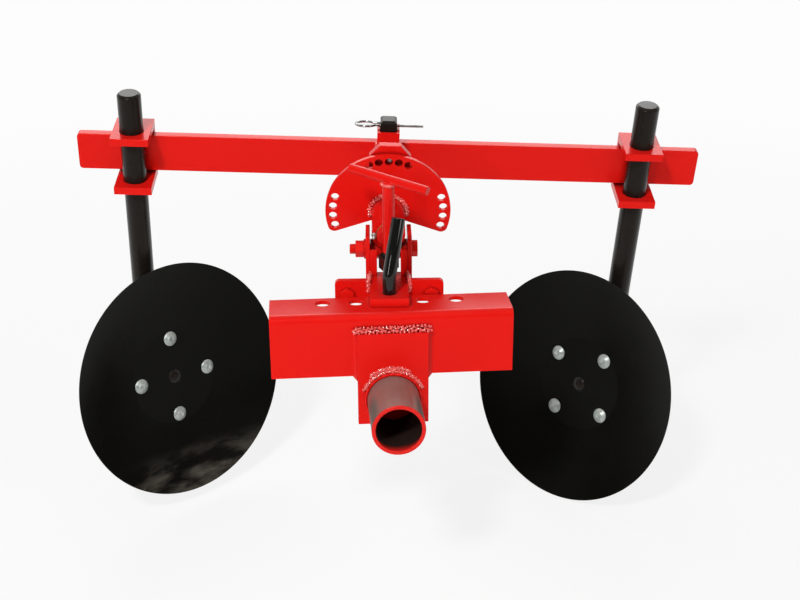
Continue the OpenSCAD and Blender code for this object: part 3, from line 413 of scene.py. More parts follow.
def plateMaterial(name, **look):
    # plated or bare steel: fine turning grain, spots, worn edges and scratches
    look = {"breakup": plateBreakup, **look}
    made, tree, shader = newMaterial(name)
    place = objectPlace(tree)
    cloud = noiseOn(place, look["patch"], "patchy")
    base = mixColours(ramp(cloud, bands["cloud"]), look["dark"], look["light"])
    base = mixColours(useGroup(tree, edgeWear, look)["mask"], base, look["bright"])
    metal = look["metal"]
    if "spray" in look:
        covered = oversprayed(tree, look["spray"])
        base = mixColours(covered, base, look["spray"]["colour"])
        metal = product(compute("SUBTRACT", 1.0, covered), metal)
    marks = useGroup(tree, fineScratches, look)["mask"]
    rough = unevenly(cloud, bands["plateCloud"], look)
    setInputs(shader, {
        "Base Color": base,
        "Metallic": metal,
        "Roughness": compute("ADD", rough, product(marks, scratchRough)),
        "Normal": bumpFrom(noiseOn(place, look["grain"], "grainy"), look["bump"], grainDepth),
    })
    return made


zincPlate = plateMaterial(
    "zincPlate", dark=(0.32, 0.36, 0.33, 1), light=(0.50, 0.54, 0.51, 1), patch=130.0,
    bright=(0.80, 0.82, 0.81, 1), wear=0.8, wearRadius=0.6 * mm, scratches=0.4,
    roughness=0.42, uneven=0.08, grain=900.0, bump=0.25, metal=0.55)
wireChrome = plateMaterial(
    "wireChrome", dark=(0.22, 0.22, 0.21, 1), light=(0.46, 0.47, 0.46, 1), patch=90.0,
    bright=(0.9, 0.9, 0.9, 1), wear=0.2, wearRadius=0.4 * mm, scratches=0.2,
    roughness=0.17, uneven=0.05, grain=700.0, bump=0.1, metal=1.0)
rollAxis = directed(headFrame, alongY)
tubeMouth = min(rollAxis.dot(v.co) for v in frame["nodes"]["roll_bushes"].data.vertices)
shaftSteel = plateMaterial(
    "shaftSteel", dark=(0.22, 0.21, 0.20, 1), light=(0.40, 0.39, 0.37, 1), patch=60.0,
    bright=(0.7, 0.7, 0.68, 1), wear=0.7, wearRadius=0.8 * mm, scratches=0.5,
    roughness=0.34, uneven=0.1, grain=800.0, bump=0.25, metal=0.9,
    spray={"colour": (0.70, 0.009, 0.006, 1), "axis": rollAxis, "patch": 120.0, "ragged": -2 * mm,
           "edge": (tubeMouth + 2 * mm, tubeMouth)})
bushBronze = plateMaterial(
    "bushBronze", dark=(0.30, 0.18, 0.07, 1), light=(0.50, 0.32, 0.13, 1), patch=80.0,
    bright=(0.72, 0.52, 0.26, 1), wear=0.6, wearRadius=0.5 * mm, scratches=0.4,
    roughness=0.36, uneven=0.08, grain=800.0, bump=0.2, metal=0.9)


def tubeMaterial(name, **look):
    # drawn tube: bare brown steel outside, red mouth, bore with overspray near the mouth and painted shade deeper
    # in, darker towards the top, and overspray at the weld
    made, tree, shader = newMaterial(name)
    place = objectPlace(tree)
    parts = split(place)
    lines = noiseOn(stretched(place, look["drawn"]), 1.0, "broken")
    stains = ramp(noiseOn(place, look["stainPatch"], "broken"), look["stainBand"])
    steel = mixColours(ramp(lines, look["lineBand"]), look["dark"], look["light"])
    steel = mixColours(product(stains, look["stained"]), steel, look["stain"])
    squares = [compute("POWER", parts[axis], 2.0) for axis in ("X", "Z")]
    inside = compute("LESS_THAN", compute("ADD", *squares), look["bore"] ** 2)
    mouth = compute("LESS_THAN", parts["Y"], look["mouth"])
    ragged = product(noiseOn(place, look["raggedPatch"], "broken"), look["ragged"])
    depth = compute("ADD", parts["Y"], ragged)
    spray = ramp(depth, look["spray"])
    # painted shade: the bore turns dark a little way in, sooner along its top
    lower = compute("ADD", depth, product(parts["Z"], look["lowReach"]))
    deep = ramp(lower, look["lining"])
    lining = mixColours(deep, look["red"], look["dull"])
    shown = mixColours(inside, mixColours(spray, steel, look["red"]), lining)
    painted = compute("MAXIMUM", compute("MAXIMUM", inside, mouth), spray)
    rough = ramp(lines, look["roughBand"], *look["roughness"])
    setInputs(shader, {
        "Base Color": mixColours(mouth, shown, look["red"]),
        "Metallic": product(compute("SUBTRACT", 1.0, painted), look["metal"]),
        "Roughness": compute("ADD", rough, product(inside, look["boreRough"])),
        "Normal": bumpFrom(lines, look["bump"], grainDepth),
        "Specular Tint": look["tint"],
    })
    return made


tubeLow, tubeHigh = reach("hitch_tube", hitchFrame)
tubeSteel = tubeMaterial(
    "tubeSteel", dark=(0.27, 0.225, 0.195, 1), light=(0.30, 0.255, 0.225, 1), stain=(0.24, 0.19, 0.155, 1),
    # painted shade: the near-black colour deep in the bore, and the band where it begins
    red=(0.72, 0.009, 0.006, 1), dull=(0.012, 0.007, 0.005, 1), tint=(1, 0.6, 0.52, 1),
    drawn=(120.0, 4.0, 120.0), lineBand=(0.25, 0.75), stainPatch=45.0, stainBand=(0.45, 0.7), stained=0.5,
    roughness=(0.28, 0.37), roughBand=(0.2, 0.8), boreRough=0.35, metal=0.4, bump=0.006,
    bore=tubeHigh.x - 1.6 * mm, mouth=tubeLow.y + 1.2 * mm, raggedPatch=90.0, ragged=4 * mm,
    spray=(-3 * mm, 3 * mm), lowReach=0.55, lining=(tubeLow.y - 14 * mm, tubeLow.y + 2 * mm))
print("materials:", len(bpy.data.materials))


# mesh helpers
def addObject(name, mesh):
    piece = bpy.data.objects.new(name, mesh)
    bpy.context.scene.collection.objects.link(piece)
    return piece


def shapeObject(name, shape):
    mesh = bpy.data.meshes.new(name)
    shape.to_mesh(mesh)
    shape.free()
    return addObject(name, mesh)


def smoothFaces(piece, angle=35.0):
    piece.data.polygons.foreach_set("use_smooth", [True] * len(piece.data.polygons))
    piece.data.set_sharp_from_angle(angle=math.radians(angle))


def flatten(piece):
    # the evaluated shape becomes a plain mesh and the modifiers go
    bpy.context.view_layer.update()
    made = bpy.data.meshes.new_from_object(piece.evaluated_get(bpy.context.evaluated_depsgraph_get()))
    piece.modifiers.clear()
    piece.data = made
    return piece


def soften(piece, width, segments=2, angle=30.0):
    bevel = piece.modifiers.new("softEdge", "BEVEL")
    bevel.width = width
    bevel.segments = segments
    bevel.limit_method = "ANGLE"
    bevel.angle_limit = math.radians(angle)
    bevel.use_clamp_overlap = True
    return piece


def finishPiece(piece, body, finish, slot, nodes=()):
    if not piece.data.materials:
        piece.data.materials.append(finish)
    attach(piece, body)
    if nodes:
        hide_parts(*nodes)


def standIn(piece, node, finish):
    finishPiece(piece, bodyOf[node], finish, slotOf[node], [node])


def camel(node):
    words = node.split("_")
    return words[0] + "".join(word.capitalize() for word in words[1:])


mergeDistance, flatAngle = 0.002 * mm, math.radians(0.6)


def dressNode(node, width, finish):
    # a merged copy of the solid with its hard edges broken
    shape = bmesh.new()
    shape.from_mesh(frame["nodes"][node].data)
    bmesh.ops.remove_doubles(shape, verts=shape.verts, dist=mergeDistance)
    bmesh.ops.dissolve_limit(shape, angle_limit=flatAngle, verts=shape.verts, edges=shape.edges)
    piece = flatten(soften(shapeObject(camel(node), shape), width))
    smoothFaces(piece)
    piece.modifiers.new("evenNormals", "WEIGHTED_NORMAL").keep_sharp = True
    standIn(flatten(piece), node, finish)


# width of the broken edge of each dressed solid, in millimetres, by finish
dressed = [
    (redPaint, {
        "front_plate": 0.9, "angle_bar": 0.8, "tongue_plate": 0.9, "left_cheek": 0.7, "right_cheek": 0.7,
        "tongue_web": 0.5, "left_wing": 0.8, "right_wing": 0.8, "swing_set_bolts": 0.7,
        "swing_lock_nuts": 0.6, "pivot_bolt": 0.8, "pivot_nut": 0.8, "pivot_washer": 0.4,
        "pivot_housing": 0.8, "roll_tube": 0.8, "index_sector": 0.6, "handle_rod": 0.4, "tee_bar": 0.9,
        "index_lug": 0.9, "sleeve": 0.7, "toolbar": 0.9}),
    (tubeSteel, {"hitch_tube": 0.8}),
    (blackPaint, {"screw_nut": 1.0, "depth_screw": 0.4, "post": 0.7, "index_knob": 1.0}),
    (zincPlate, {"index_pin": 0.8}),
    (shaftSteel, {"roll_shaft": 0.6, "thrust_washers": 0.3, "retaining_ring": 0.3}),
    (bushBronze, {"pivot_bush": 0.3, "roll_bushes": 0.4}),
]
for side in sides:
    dressed += [
        (redPaint, {side + "_clamp": 0.9}), (zincPlate, {side + "_clamp_bolt": 0.7}),
        (blackPaint, {side + "_shank": 0.7, side + "_knuckle": 1.0}),
        (zincPlate, {side + "_knuckle_bolt": 0.6, side + "_axle_nut": 0.6}),
        (blackPaint, {side + "_hub": 1.0}), (shaftSteel, {side + "_bearings": 0.5}),
        (zincPlate, {side + "_disc_nuts": 0.5}),
    ]
for finish, widths in dressed:
    for node, width in widths.items():
        dressNode(node, width * mm, finish)
print("dressed solids:", sum(len(widths) for finish, widths in dressed))

onAxis = 1e-7  # a smaller radius is a point on the axis


def below(top, crown):
    # from radius and depth below the top to radius and height
    return [(radius, top - depth) for radius, depth in crown]


def spinProfile(name, profile, placed, steps):
    # closed outline of radius and height, turned round Z
    shape = bmesh.new()
    rings = []
    turns = [2 * math.pi * i / steps for i in range(steps)]
    for radius, height in profile:
        spots = [(radius * math.cos(a), radius * math.sin(a), height) for a in turns]
        if radius < onAxis:
            spots = [(0, 0, height)]
        rings.append([shape.verts.new(spot) for spot in spots])
    for low, high in zip(rings, rings[1:] + rings[:1]):
        if len(low) == 1 and len(high) == 1:
            continue
        for i in range(steps):
            j = (i + 1) % steps
            corners = [low[i % len(low)], low[j % len(low)], high[j % len(high)], high[i % len(high)]]
            shape.faces.new(list(dict.fromkeys(corners)))
    bmesh.ops.recalc_face_normals(shape, faces=shape.faces)
    piece = shapeObject(name, shape)
    piece.data.transform(placed)
    return piece


def turnedPiece(node, profile, placed, s, finish):
    piece = spinProfile(camel(node), profile, placed, s["steps"])
    smoothFaces(piece, s["smooth"])
    standIn(piece, node, finish)


# the concave discs, with the flat middle, the dish and a sharpened rim
discSettings = dict(lengths(flatRadius=63, holeRadius=10.2, sharpened=9, lip=0.9, bluntEdge=0.3),
                    dishSteps=28, steps=192, smooth=25)


def makeDisc(side):
    s = discSettings
    low, high = reach(side + "_disc", discFrame[side])
    rim, thick, depth = high.x, -low.z, high.z
    rise = ((rim ** 2 - s["flatRadius"] ** 2) / depth + depth) / 2
    ball = math.hypot(rise, s["flatRadius"])

    def dish(radius, size):
        return rise - math.sqrt(size ** 2 - radius ** 2)

    step = (rim - s["flatRadius"]) / s["dishSteps"]
    inner = [s["flatRadius"] + step * i for i in range(s["dishSteps"] + 1)]
    outer = [r for r in inner if r < rim - s["sharpened"]]
    profile = [(s["holeRadius"], 0)] + [(r, dish(r, ball)) for r in inner]
    profile += [(rim - s["bluntEdge"], depth - s["lip"])]
    profile += [(r, max(dish(r, ball + thick), -thick)) for r in reversed(outer)]
    profile += [(s["holeRadius"], -thick)]
    turnedPiece(side + "_disc", profile, discFrame[side], s, discBlack)


# hub caps: low dome with a turned groove and a centre mark, as radius and depth below the top
capSettings = dict(lengths(crown=((0, 0.7), (1.5, 0.15), (2, 0.05), (6.8, 0.75), (7.4, 1.25), (8, 1)),
                           skirt=((9.3, 0.35), (9.8, -0.2)), radius=9.8, rim=16, rimThick=1.6),
                   steps=64, smooth=40)


def makeHubCap(side):
    s = capSettings
    low, high = reach(side + "_hub_cap", discFrame[side])
    seat = low.z + s["rimThick"]
    profile = below(high.z, s["crown"]) + list(s["skirt"])
    profile += [(s["radius"], seat), (s["rim"], seat), (s["rim"], low.z), (0, low.z)]
    turnedPiece(side + "_hub_cap", profile, discFrame[side], s, blackPaint)


for side in sides:
    makeDisc(side)
for side in sides:
    makeHubCap(side)
print("discs and hub caps made")


# geometry node helpers
def geo(kind, values, **settings):
    return outOf("GeometryNode" + kind, values, **settings)


def newTree(name, inputs):
    tree = bpy.data.node_groups.new(name, "GeometryNodeTree")
    return addSockets(tree, ("Geometry", *inputs, "Finish"), ("Geometry",))


def realized(shape):
    return geo("RealizeInstances", {0: shape})


def finishTree(given, made, shape):
    painted = geo("SetMaterial", {"Geometry": shape, "Material": given["Finish"]})
    setInputs(made, {0: painted})
    return made.id_data


def runTree(name, mesh, tree, values):
    # sets each input by its identifier before the shape is first worked out
    piece = addObject(name, mesh)
    build = piece.modifiers.new("build", "NODES")
    build.node_group = tree
    keys = {item.name: item.identifier for item in tree.interface.items_tree if item.in_out == "INPUT"}
    for label, value in values.items():
        build[keys[label]] = value
    return piece


def pathMesh(name, points):
    mesh = bpy.data.meshes.new(name)
    mesh.from_pydata([tuple(p) for p in points], [(i, i + 1) for i in range(len(points) - 1)], [])
    return mesh


sizeNames = ("Step", "Width", "Height", "Weave", "Jitter", "Rough")
# turn of the weave at each scale, a scale's length by the step, its least and most size, the lumps' scale
scaleSettings = {"sway": 1.15, "overlap": 1.7, "least": 0.72, "most": 1.12, "lumps": 620.0}


def makeWeldTree():
    # overlapping scales laid along a path, weaving from side to side
    s = scaleSettings
    given, made = newTree("weldBead", (*sizeNames, "Facing", "Seed"))
    tree = made.id_data
    path = geo("MeshToCurve", {"Mesh": given["Geometry"]})
    spacing = {"Curve": path, "Length": given["Step"]}
    spaced = geo("ResampleCurve", spacing, mode="LENGTH")
    fields = ("Tangent", "Index", "Position", "Normal")
    tangent, order, place, normal = (addNode(tree, "GeometryNodeInput" + f).outputs[0] for f in fields)
    swing = product(compute("SINE", product(order, s["sway"])), 0.5, given["Weave"])
    aside = scaled(combine("CROSS_PRODUCT", tangent, given["Facing"]), swing)
    anywhere = {0: (-1, -1, -1), 1: (1, 1, 1), "Seed": given["Seed"]}
    stray = outOf("FunctionNodeRandomValue", anywhere, data_type="FLOAT_VECTOR")
    offset = combine("ADD", aside, scaled(stray, given["Jitter"]))
    moved = geo("SetPosition", {"Geometry": spaced, "Offset": offset})
    ahead = outOf("FunctionNodeAlignRotationToVector", {"Vector": tangent}, axis="X")
    turning = {"Rotation": ahead, "Vector": given["Facing"]}
    outward = outOf("FunctionNodeAlignRotationToVector", turning, axis="Z", pivot_axis="X")
    size = outOf("ShaderNodeCombineXYZ", {
        0: product(given["Step"], s["overlap"]), 1: product(given["Width"], 0.5), 2: given["Height"]})
    around = {2: s["least"], 3: s["most"], "Seed": given["Seed"]}
    change = fedNode("FunctionNodeRandomValue", around, data_type="FLOAT").outputs[1]
    scale = addNode(tree, "GeometryNodeMeshIcoSphere", {"Radius": 1.0, "Subdivisions": 2}).outputs[0]
    laid = geo("InstanceOnPoints", {
        "Points": moved, "Instance": scale, "Rotation": outward, "Scale": scaled(size, change)})
    lumps = compute("SUBTRACT", noiseOn(place, s["lumps"], "lumpy"), noiseMiddle)
    push = scaled(normal, product(lumps, given["Rough"]))
    rough = geo("SetPosition", {"Geometry": realized(laid), "Offset": push})
    smooth = geo("SetShadeSmooth", {"Geometry": rough})
    return finishTree(given, made, smooth)


weldTree = makeWeldTree()


def ring(centre, radius, axis, look):
    # arc round the Y or Z axis, 0 at +X
    start, end = look["arc"]
    points = []
    for i in range(look["count"] + 1):
        a = math.radians(start + (end - start) * i / look["count"])
        first, second = radius * math.cos(a), radius * math.sin(a)
        bend = Vector((first, 0, second)) if axis == "y" else Vector((first, second, 0))
        points.append(Vector(centre) + bend)
    return points


def weld(key, body, placed, points, toward, finish=redWeld, side=""):
    # points measured in placed
    name, look = key + side + "Weld", weldLooks[key]
    values = {label: look[label] for label in (*sizeNames, "Seed")}
    values.update({"Facing": tuple(toward), "Finish": finish})
    path = pathMesh(name, [placed @ Vector(p) for p in points])
    finishPiece(flatten(runTree(name, path, weldTree, values)), body, finish, "red_paint")


def bead(seed, *sizes, arc=(0, 360), count=48, **places):
    # scales a Step apart, snaking over Weave, all in millimetres; the arc is in degrees
    return {**lengths(**dict(zip(sizeNames, sizes)), **places), "Seed": seed, "arc": arc, "count": count}


weldLooks = {
    "plateTop": bead(11, 0.8, 4.6, 1.9, 7.4, 0.6, 0.9, past=4.0, back=5.4, above=2.9, climb=0.6),
    "tubeRing": bead(5, 1.0, 4.4, 2.0, 0.0, 0.08, 0.4, out=1.6, ahead=0.6, count=96),
    "tubeInner": bead(8, 0.8, 4.2, 1.7, 2.4, 0.5, 1.4, out=5.6, ahead=0.2, arc=(22, 158)),
    "tubeOuter": bead(9, 0.8, 4.0, 1.3, 2.0, 0.6, 1.4, out=9.4, ahead=0.2, arc=(62, 132)),
    "wing": bead(21, 0.9, 5.0, 1.9, 2.0, 0.4, 1.2, out=(2.2, 1.8), ahead=0.4, below=(1, 13)),
    "wingTop": bead(23, 0.9, 4.5, 1.9, 1.5, 0.4, 1.2, out=1.2, back=1, fall=3),
    "cheek": bead(25, 0.9, 4.2, 1.3, 0.6, 0.25, 0.9, ahead=0.2, above=(1, 5)),
    "sleeve": bead(31, 0.9, 4.6, 1.7, 0.8, 0.25, 0.9, out=0.8, within=(2, -1)),
    "sector": bead(41, 0.8, 4.6, 2.2, 3.0, 0.45, 1.4, out=2.4, ahead=0.6, arc=(-12, 192), count=72),
    "tee": bead(43, 1.2, 4.6, 2.2, 0.8, 0.3, 1.0, sunk=0.4, below=0.2),
    "lug": bead(47, 1.0, 5.0, 2.2, 1.0, 0.3, 1.0, out=1.6, behind=0.4),
    "housing": bead(49, 0.9, 4.6, 1.8, 0.8, 0.25, 0.9, half=9, ahead=8.6, above=11),
}
plateLow, plateHigh = reach("front_plate", hitchFrame)
angleLow = reach("angle_bar", hitchFrame)[0]
toFront, plateSlope, housingSlope = Vector((0, -1, 0)), (0, -0.56, 0.83), (0, -1, 0.3)


def layHitchWelds():
    look = weldLooks["plateTop"]
    back, above = plateLow.y + look["back"], plateHigh.z + look["above"]
    ends = [(plateLow.x - look["past"], back, above)]
    ends += [(plateHigh.x + look["past"], back, above + look["climb"])]
    weld("plateTop", "hitch", hitchFrame, ends, plateSlope)
    for key, finish in (("tubeRing", redPaint), ("tubeInner", redWeld), ("tubeOuter", redWeld)):
        look = weldLooks[key]
        points = ring((0, -look["ahead"], 0), tubeHigh.x + look["out"], "y", look)
        weld(key, "hitch", hitchFrame, points, toFront, finish)


def layTongueWelds(sign, side):
    tongueLow, tongueHigh = reach("tongue_plate", tongueFrame)
    cheekFront = reach("right_cheek", tongueFrame)[0].y
    wingLow, wingHigh = reach("right_wing", tongueFrame)
    outer = tongueHigh.x
    look = weldLooks["wing"]
    ends = [(sign * (outer + out), wingLow.y - look["ahead"], wingHigh.z - drop)
            for out, drop in zip(look["out"], look["below"])]
    weld("wing", "tongue", tongueFrame, ends, toFront, side=side)
    look = weldLooks["wingTop"]
    beside = sign * (outer + look["out"])
    ends = [(beside, wingLow.y + look["back"], wingHigh.z), (beside, cheekFront, wingHigh.z - look["fall"])]
    weld("wingTop", "tongue", tongueFrame, ends, facing(tongueFrame, (sign, 0, 1)), side=side)
    look = weldLooks["cheek"]
    ends = [(sign * outer, cheekFront - look["ahead"], level + above)
            for level, above in zip((tongueLow.z, tongueHigh.z), look["above"])]
    weld("cheek", "tongue", tongueFrame, ends, toFront, side=side)


def laySleeveWeld(sign, side):
    look = weldLooks["sleeve"]
    barLow, barHigh = reach("toolbar", headFrame)
    beside = sign * (reach("sleeve", headFrame)[1].x + look["out"])
    ends = [(beside, barLow.y - look["out"], level + within)
            for level, within in zip((barLow.z, barHigh.z), look["within"])]
    weld("sleeve", "head", headFrame, ends, facing(headFrame, (sign, -1, 0)), side=side)


def layArmWelds():
    rollLow, rollHigh = reach("roll_tube", armFrame)
    rollRadius = (rollHigh.x - rollLow.x) / 2
    look = weldLooks["sector"]
    centre = (0, reach("index_sector", armFrame)[0].y - look["ahead"], rollHigh.z - rollRadius)
    points = ring(centre, rollRadius + look["out"], "y", look)
    weld("sector", "arm", armFrame, points, facing(armFrame, toFront))
    look = weldLooks["tee"]
    centre = (0, 0, reach("tee_bar", screwFrame)[0].z - look["below"])
    points = ring(centre, reach("handle_rod", screwFrame)[1].x - look["sunk"], "z", look)
    weld("tee", "tee_handle", screwFrame, points, facing(screwFrame, alongZ))
    look = weldLooks["lug"]
    centre = (0, reach("index_lug", headFrame)[1].y + look["behind"], 0)
    points = ring(centre, reach("roll_shaft", headFrame)[1].x + look["out"], "y", look)
    weld("lug", "head", headFrame, points, facing(headFrame, alongY))
    look = weldLooks["housing"]
    ends = [(sign * look["half"], -look["ahead"], look["above"]) for sign in (-1, 1)]
    weld("housing", "arm", armFrame, ends, facing(armFrame, housingSlope))


layHitchWelds()
for sign, side in signs:
    layTongueWelds(sign, side)
    laySleeveWeld(sign, side)
layArmWelds()

# hollow fillets down the plate's sides, which wrap round the angle bar's lower edge
filletSettings = dict(lengths(alongAngle=5.6, alongPlate=7.0, above=2, below=6.5, ripple=0.25, sunk=0.4),
                      waves=((2.3, 0), (1.7, 1)), leastDeep=0.35, leastWide=0.02,
                      arcSteps=6, levels=26, smooth=45)


def filletRow(level, fade):
    # outline across the fillet, from its buried corner round the hollow face
    s = filletSettings
    ripples = [s["ripple"] * math.sin(level * wave + shift) for wave, shift in s["waves"]]
    wide = (s["alongAngle"] + ripples[0]) * fade
    deep = (s["alongPlate"] + ripples[1]) * (s["leastDeep"] + (1 - s["leastDeep"]) * fade)
    row = [(-s["sunk"], s["sunk"])]
    for i in range(s["arcSteps"] + 1):
        a = math.pi / 2 * i / s["arcSteps"]
        row.append((wide * (1 - math.sin(a)), -deep * (1 - math.cos(a))))
    row[1] = (row[1][0], row[1][1] + s["sunk"])
    row[-1] = (row[-1][0] - s["sunk"], row[-1][1])
    return row


def makeSideFillet(sign, side):
    s = filletSettings
    shape = bmesh.new()
    top, edge, bottom = plateHigh.z + s["above"], angleLow.z, angleLow.z - s["below"]
    rows = []
    for level in range(s["levels"] + 1):
        z = top + (bottom - top) * level / s["levels"]
        fade = min(1.0, max(s["leastWide"], (z - bottom) / (edge - bottom)))
        outline = filletRow(level, fade)
        rows.append([shape.verts.new((sign * (plateHigh.x + x), plateHigh.y + y, z)) for x, y in outline])
    count = len(rows[0])
    for high, low in zip(rows, rows[1:]):
        for i in range(count):
            j = (i + 1) % count
            shape.faces.new((high[i], high[j], low[j], low[i]))
    shape.faces.new(rows[0])
    shape.faces.new(rows[-1])
    bmesh.ops.recalc_face_normals(shape, faces=shape.faces)
    piece = shapeObject("plateFillet" + side, shape)
    smoothFaces(piece, s["smooth"])
    finishPiece(piece, "hitch", redPaint, "red_paint")


for sign, side in signs:
    makeSideFillet(sign, side)
print("weld beads laid")


def makeSweepTree():
    # round bar or wire along a path
    given, made = newTree("roundBar", ("Radius", "Sides"))
    path = geo("MeshToCurve", {"Mesh": given["Geometry"]})
    sizes = {"Resolution": given["Sides"], "Radius": given["Radius"]}
    outline = geo("CurvePrimitiveCircle", sizes)
    bar = geo("CurveToMesh", {"Curve": path, "Profile Curve": outline, "Fill Caps": True})
    return finishTree(given, made, realized(bar))


sweepTree = makeSweepTree()
roundedEnd = {"segments": 3, "angle": 50.0}


def sweep(name, node, points, finish, s):
    values = {"Radius": s["radius"], "Sides": s["sides"], "Finish": finish}
    piece = runTree(name, pathMesh(name, points), sweepTree, values)
    flatten(soften(piece, s["roundEnd"], **roundedEnd))
    smoothFaces(piece, s["smooth"])
    standIn(piece, node, finish)


# the bent hitch pin: its straight shank, one smooth bend and the handle
pinSettings = dict(lengths(radius=8, bendRadius=28, bendHeight=31.2, handle=67, roundEnd=1.4),
                   lean=19.5, turn=30.0, bendSteps=12, sides=40, smooth=40)


def makeHitchPin():
    s = pinSettings
    foot = reach("hitch_pin", tongueFrame)[0].z
    lean = math.radians(s["lean"])
    bendStart = s["bendHeight"] - s["bendRadius"] * math.tan(lean / 2)
    heading = Matrix.Rotation(-math.radians(s["turn"]), 4, "Z")
    flat = [(0.0, foot)]
    for i in range(s["bendSteps"] + 1):
        a = lean * i / s["bendSteps"]
        flat.append((s["bendRadius"] * (1 - math.cos(a)), bendStart + s["bendRadius"] * math.sin(a)))
    flat.append((s["handle"] * math.sin(lean), s["bendHeight"] + s["handle"] * math.cos(lean)))
    points = [tongueFrame @ heading @ Vector((0, y, z)) for y, z in flat]
    sweep("hitchPin", "hitch_pin", points, pinBlack, s)


# the spring clip: straight leg through the post, one loop, short leg behind
clipSettings = dict(lengths(radius=1.7, loopRadius=12.5, loopX=-29, reach=44, short=7, clearance=0.2,
                            easing=2, roundEnd=0.5), tilt=12.3, loopSteps=44, sides=20, smooth=40)


def makeSpringClip():
    s = clipSettings
    postLow, postHigh = reach("post", headFrame)
    clipLow, clipHigh = reach("r_clip", headFrame)
    tilt = math.radians(s["tilt"])
    legGap = ((postHigh.y - postLow.y) / 2 + s["radius"] + s["clearance"]) / math.cos(tilt)
    centre = Vector((s["loopX"], legGap / 2, 0))
    lean = math.asin(legGap / 2 / s["loopRadius"])
    neck = s["loopX"] + s["loopRadius"] * math.cos(lean) + s["easing"]
    points = [Vector((s["reach"], 0, 0)), Vector((neck, 0, 0))]
    for i in range(s["loopSteps"] + 1):
        a = -lean - (2 * math.pi - 2 * lean) * i / s["loopSteps"]
        points.append(centre + s["loopRadius"] * Vector((math.cos(a), math.sin(a), 0)))
    points += [Vector((neck, legGap, 0)), Vector((s["short"], legGap, 0))]
    leg = Vector((0, (postLow.y + postHigh.y) / 2, (clipLow.z + clipHigh.z) / 2))
    turned = headFrame @ (Matrix.Translation(leg) @ Matrix.Rotation(-tilt, 4, "X"))
    sweep("springClip", "r_clip", [turned @ p for p in points], wireChrome, s)


makeHitchPin()
makeSpringClip()
print("pin and clip bent")


def makeRingTree():
    # one fastener repeated round a circle
    given, made = newTree("boltRing", ("Count", "Circle", "Turn", "Fastener"))
    sizes = {"Vertices": given["Count"], "Radius": given["Circle"]}
    circle = geo("MeshCircle", sizes, fill_type="NONE")
    spin = outOf("ShaderNodeCombineXYZ", {2: given["Turn"]})
    turned = geo("Transform", {"Geometry": circle, "Rotation": spin})
    fastener = fedNode("GeometryNodeObjectInfo", {"Object": given["Fastener"]}).outputs["Geometry"]
    placed = geo("InstanceOnPoints", {"Points": turned, "Instance": fastener})
    return finishTree(given, made, realized(placed))


ringTree = makeRingTree()

# round-headed disc bolts: centre punch and flat land below the top, flank as shares of the head
boltSettings = dict(lengths(crown=((0, 1.1), (1.12, 0.9), (1.6, 0.25), (2.1, 0), (4.6, 0.1), (5.2, 0.7)),
                            headRadius=10, edge=0.5, shank=4, chamfer=0.8, circle=54),
                    flank=((0.72, 0.62), (0.88, 0.36)), count=4, steps=40, smooth=32)


def makeDiscBolts(side):
    s = boltSettings
    low, high = reach(side + "_disc_bolts", discFrame[side])
    head, shank, cut = s["headRadius"], s["shank"], s["chamfer"]
    profile = below(high.z, s["crown"]) + [(head * wide, high.z * tall) for wide, tall in s["flank"]]
    profile += [(head, s["edge"]), (head, 0), (shank, 0), (shank, low.z + cut)]
    profile += [(shank - cut, low.z), (0, low.z)]
    single = spinProfile(side + "BoltPattern", profile, Matrix.Identity(4), s["steps"])
    smoothFaces(single, s["smooth"])
    inDisc = discFrame[side].inverted()
    vertices = frame["nodes"][side + "_disc_bolts"].data.vertices
    tip = max((inDisc @ v.co for v in vertices), key=lambda p: p.z)
    name = side + "DiscBolts"
    values = {"Count": s["count"], "Circle": s["circle"], "Turn": math.atan2(tip.y, tip.x),
              "Fastener": single, "Finish": zincPlate}
    piece = flatten(runTree(name, bpy.data.meshes.new(name), ringTree, values))
    piece.data.transform(discFrame[side])
    bpy.data.objects.remove(single)
    standIn(piece, side + "_disc_bolts", zincPlate)


for side in sides:
    makeDiscBolts(side)

# radius and pitch of each thread, how far its root is sunk, and what is left bare at its ends
threadSettings = dict(lengths(m12=(6, 1.75), m10=(5, 1.5), screw=(7, 2), sunk=0.12, bareEnd=0.6, endGap=0.5,
                              clampTail=4.6, lockNutHalf=8), crest=0.3, perTurn=28, crestSides=4, smooth=50)


def makeThreadTree():
    # one ridge wound round a bolt
    s = threadSettings
    given, made = newTree("threadRidge", ("Radius", "Pitch", "Turns", "Crest"))
    spiral = geo("CurveSpiral", {
        "Resolution": s["perTurn"], "Rotations": given["Turns"], "Start Radius": given["Radius"],
        "End Radius": given["Radius"], "Height": product(given["Pitch"], given["Turns"])})
    crest = geo("CurvePrimitiveCircle", {"Resolution": s["crestSides"], "Radius": given["Crest"]})
    ridge = geo("CurveToMesh", {"Curve": spiral, "Profile Curve": crest, "Fill Caps": True})
    return finishTree(given, made, realized(ridge))


threadTree = makeThreadTree()


def thread(name, body, placed, start, direction, length, size, finish=redPaint, slot="red_paint"):
    # ridge from start along direction, both measured in placed
    s = threadSettings
    radius, pitch = s[size]
    along = facing(placed, direction)
    values = {"Radius": radius - s["sunk"], "Pitch": pitch, "Turns": length / pitch,
              "Crest": s["crest"] * pitch, "Finish": finish}
    piece = flatten(runTree(name, bpy.data.meshes.new(name), threadTree, values))
    piece.data.transform(axesAt(placed @ Vector(start), along.orthogonal(), along))
    smoothFaces(piece, s["smooth"])
    finishPiece(piece, body, finish, slot)


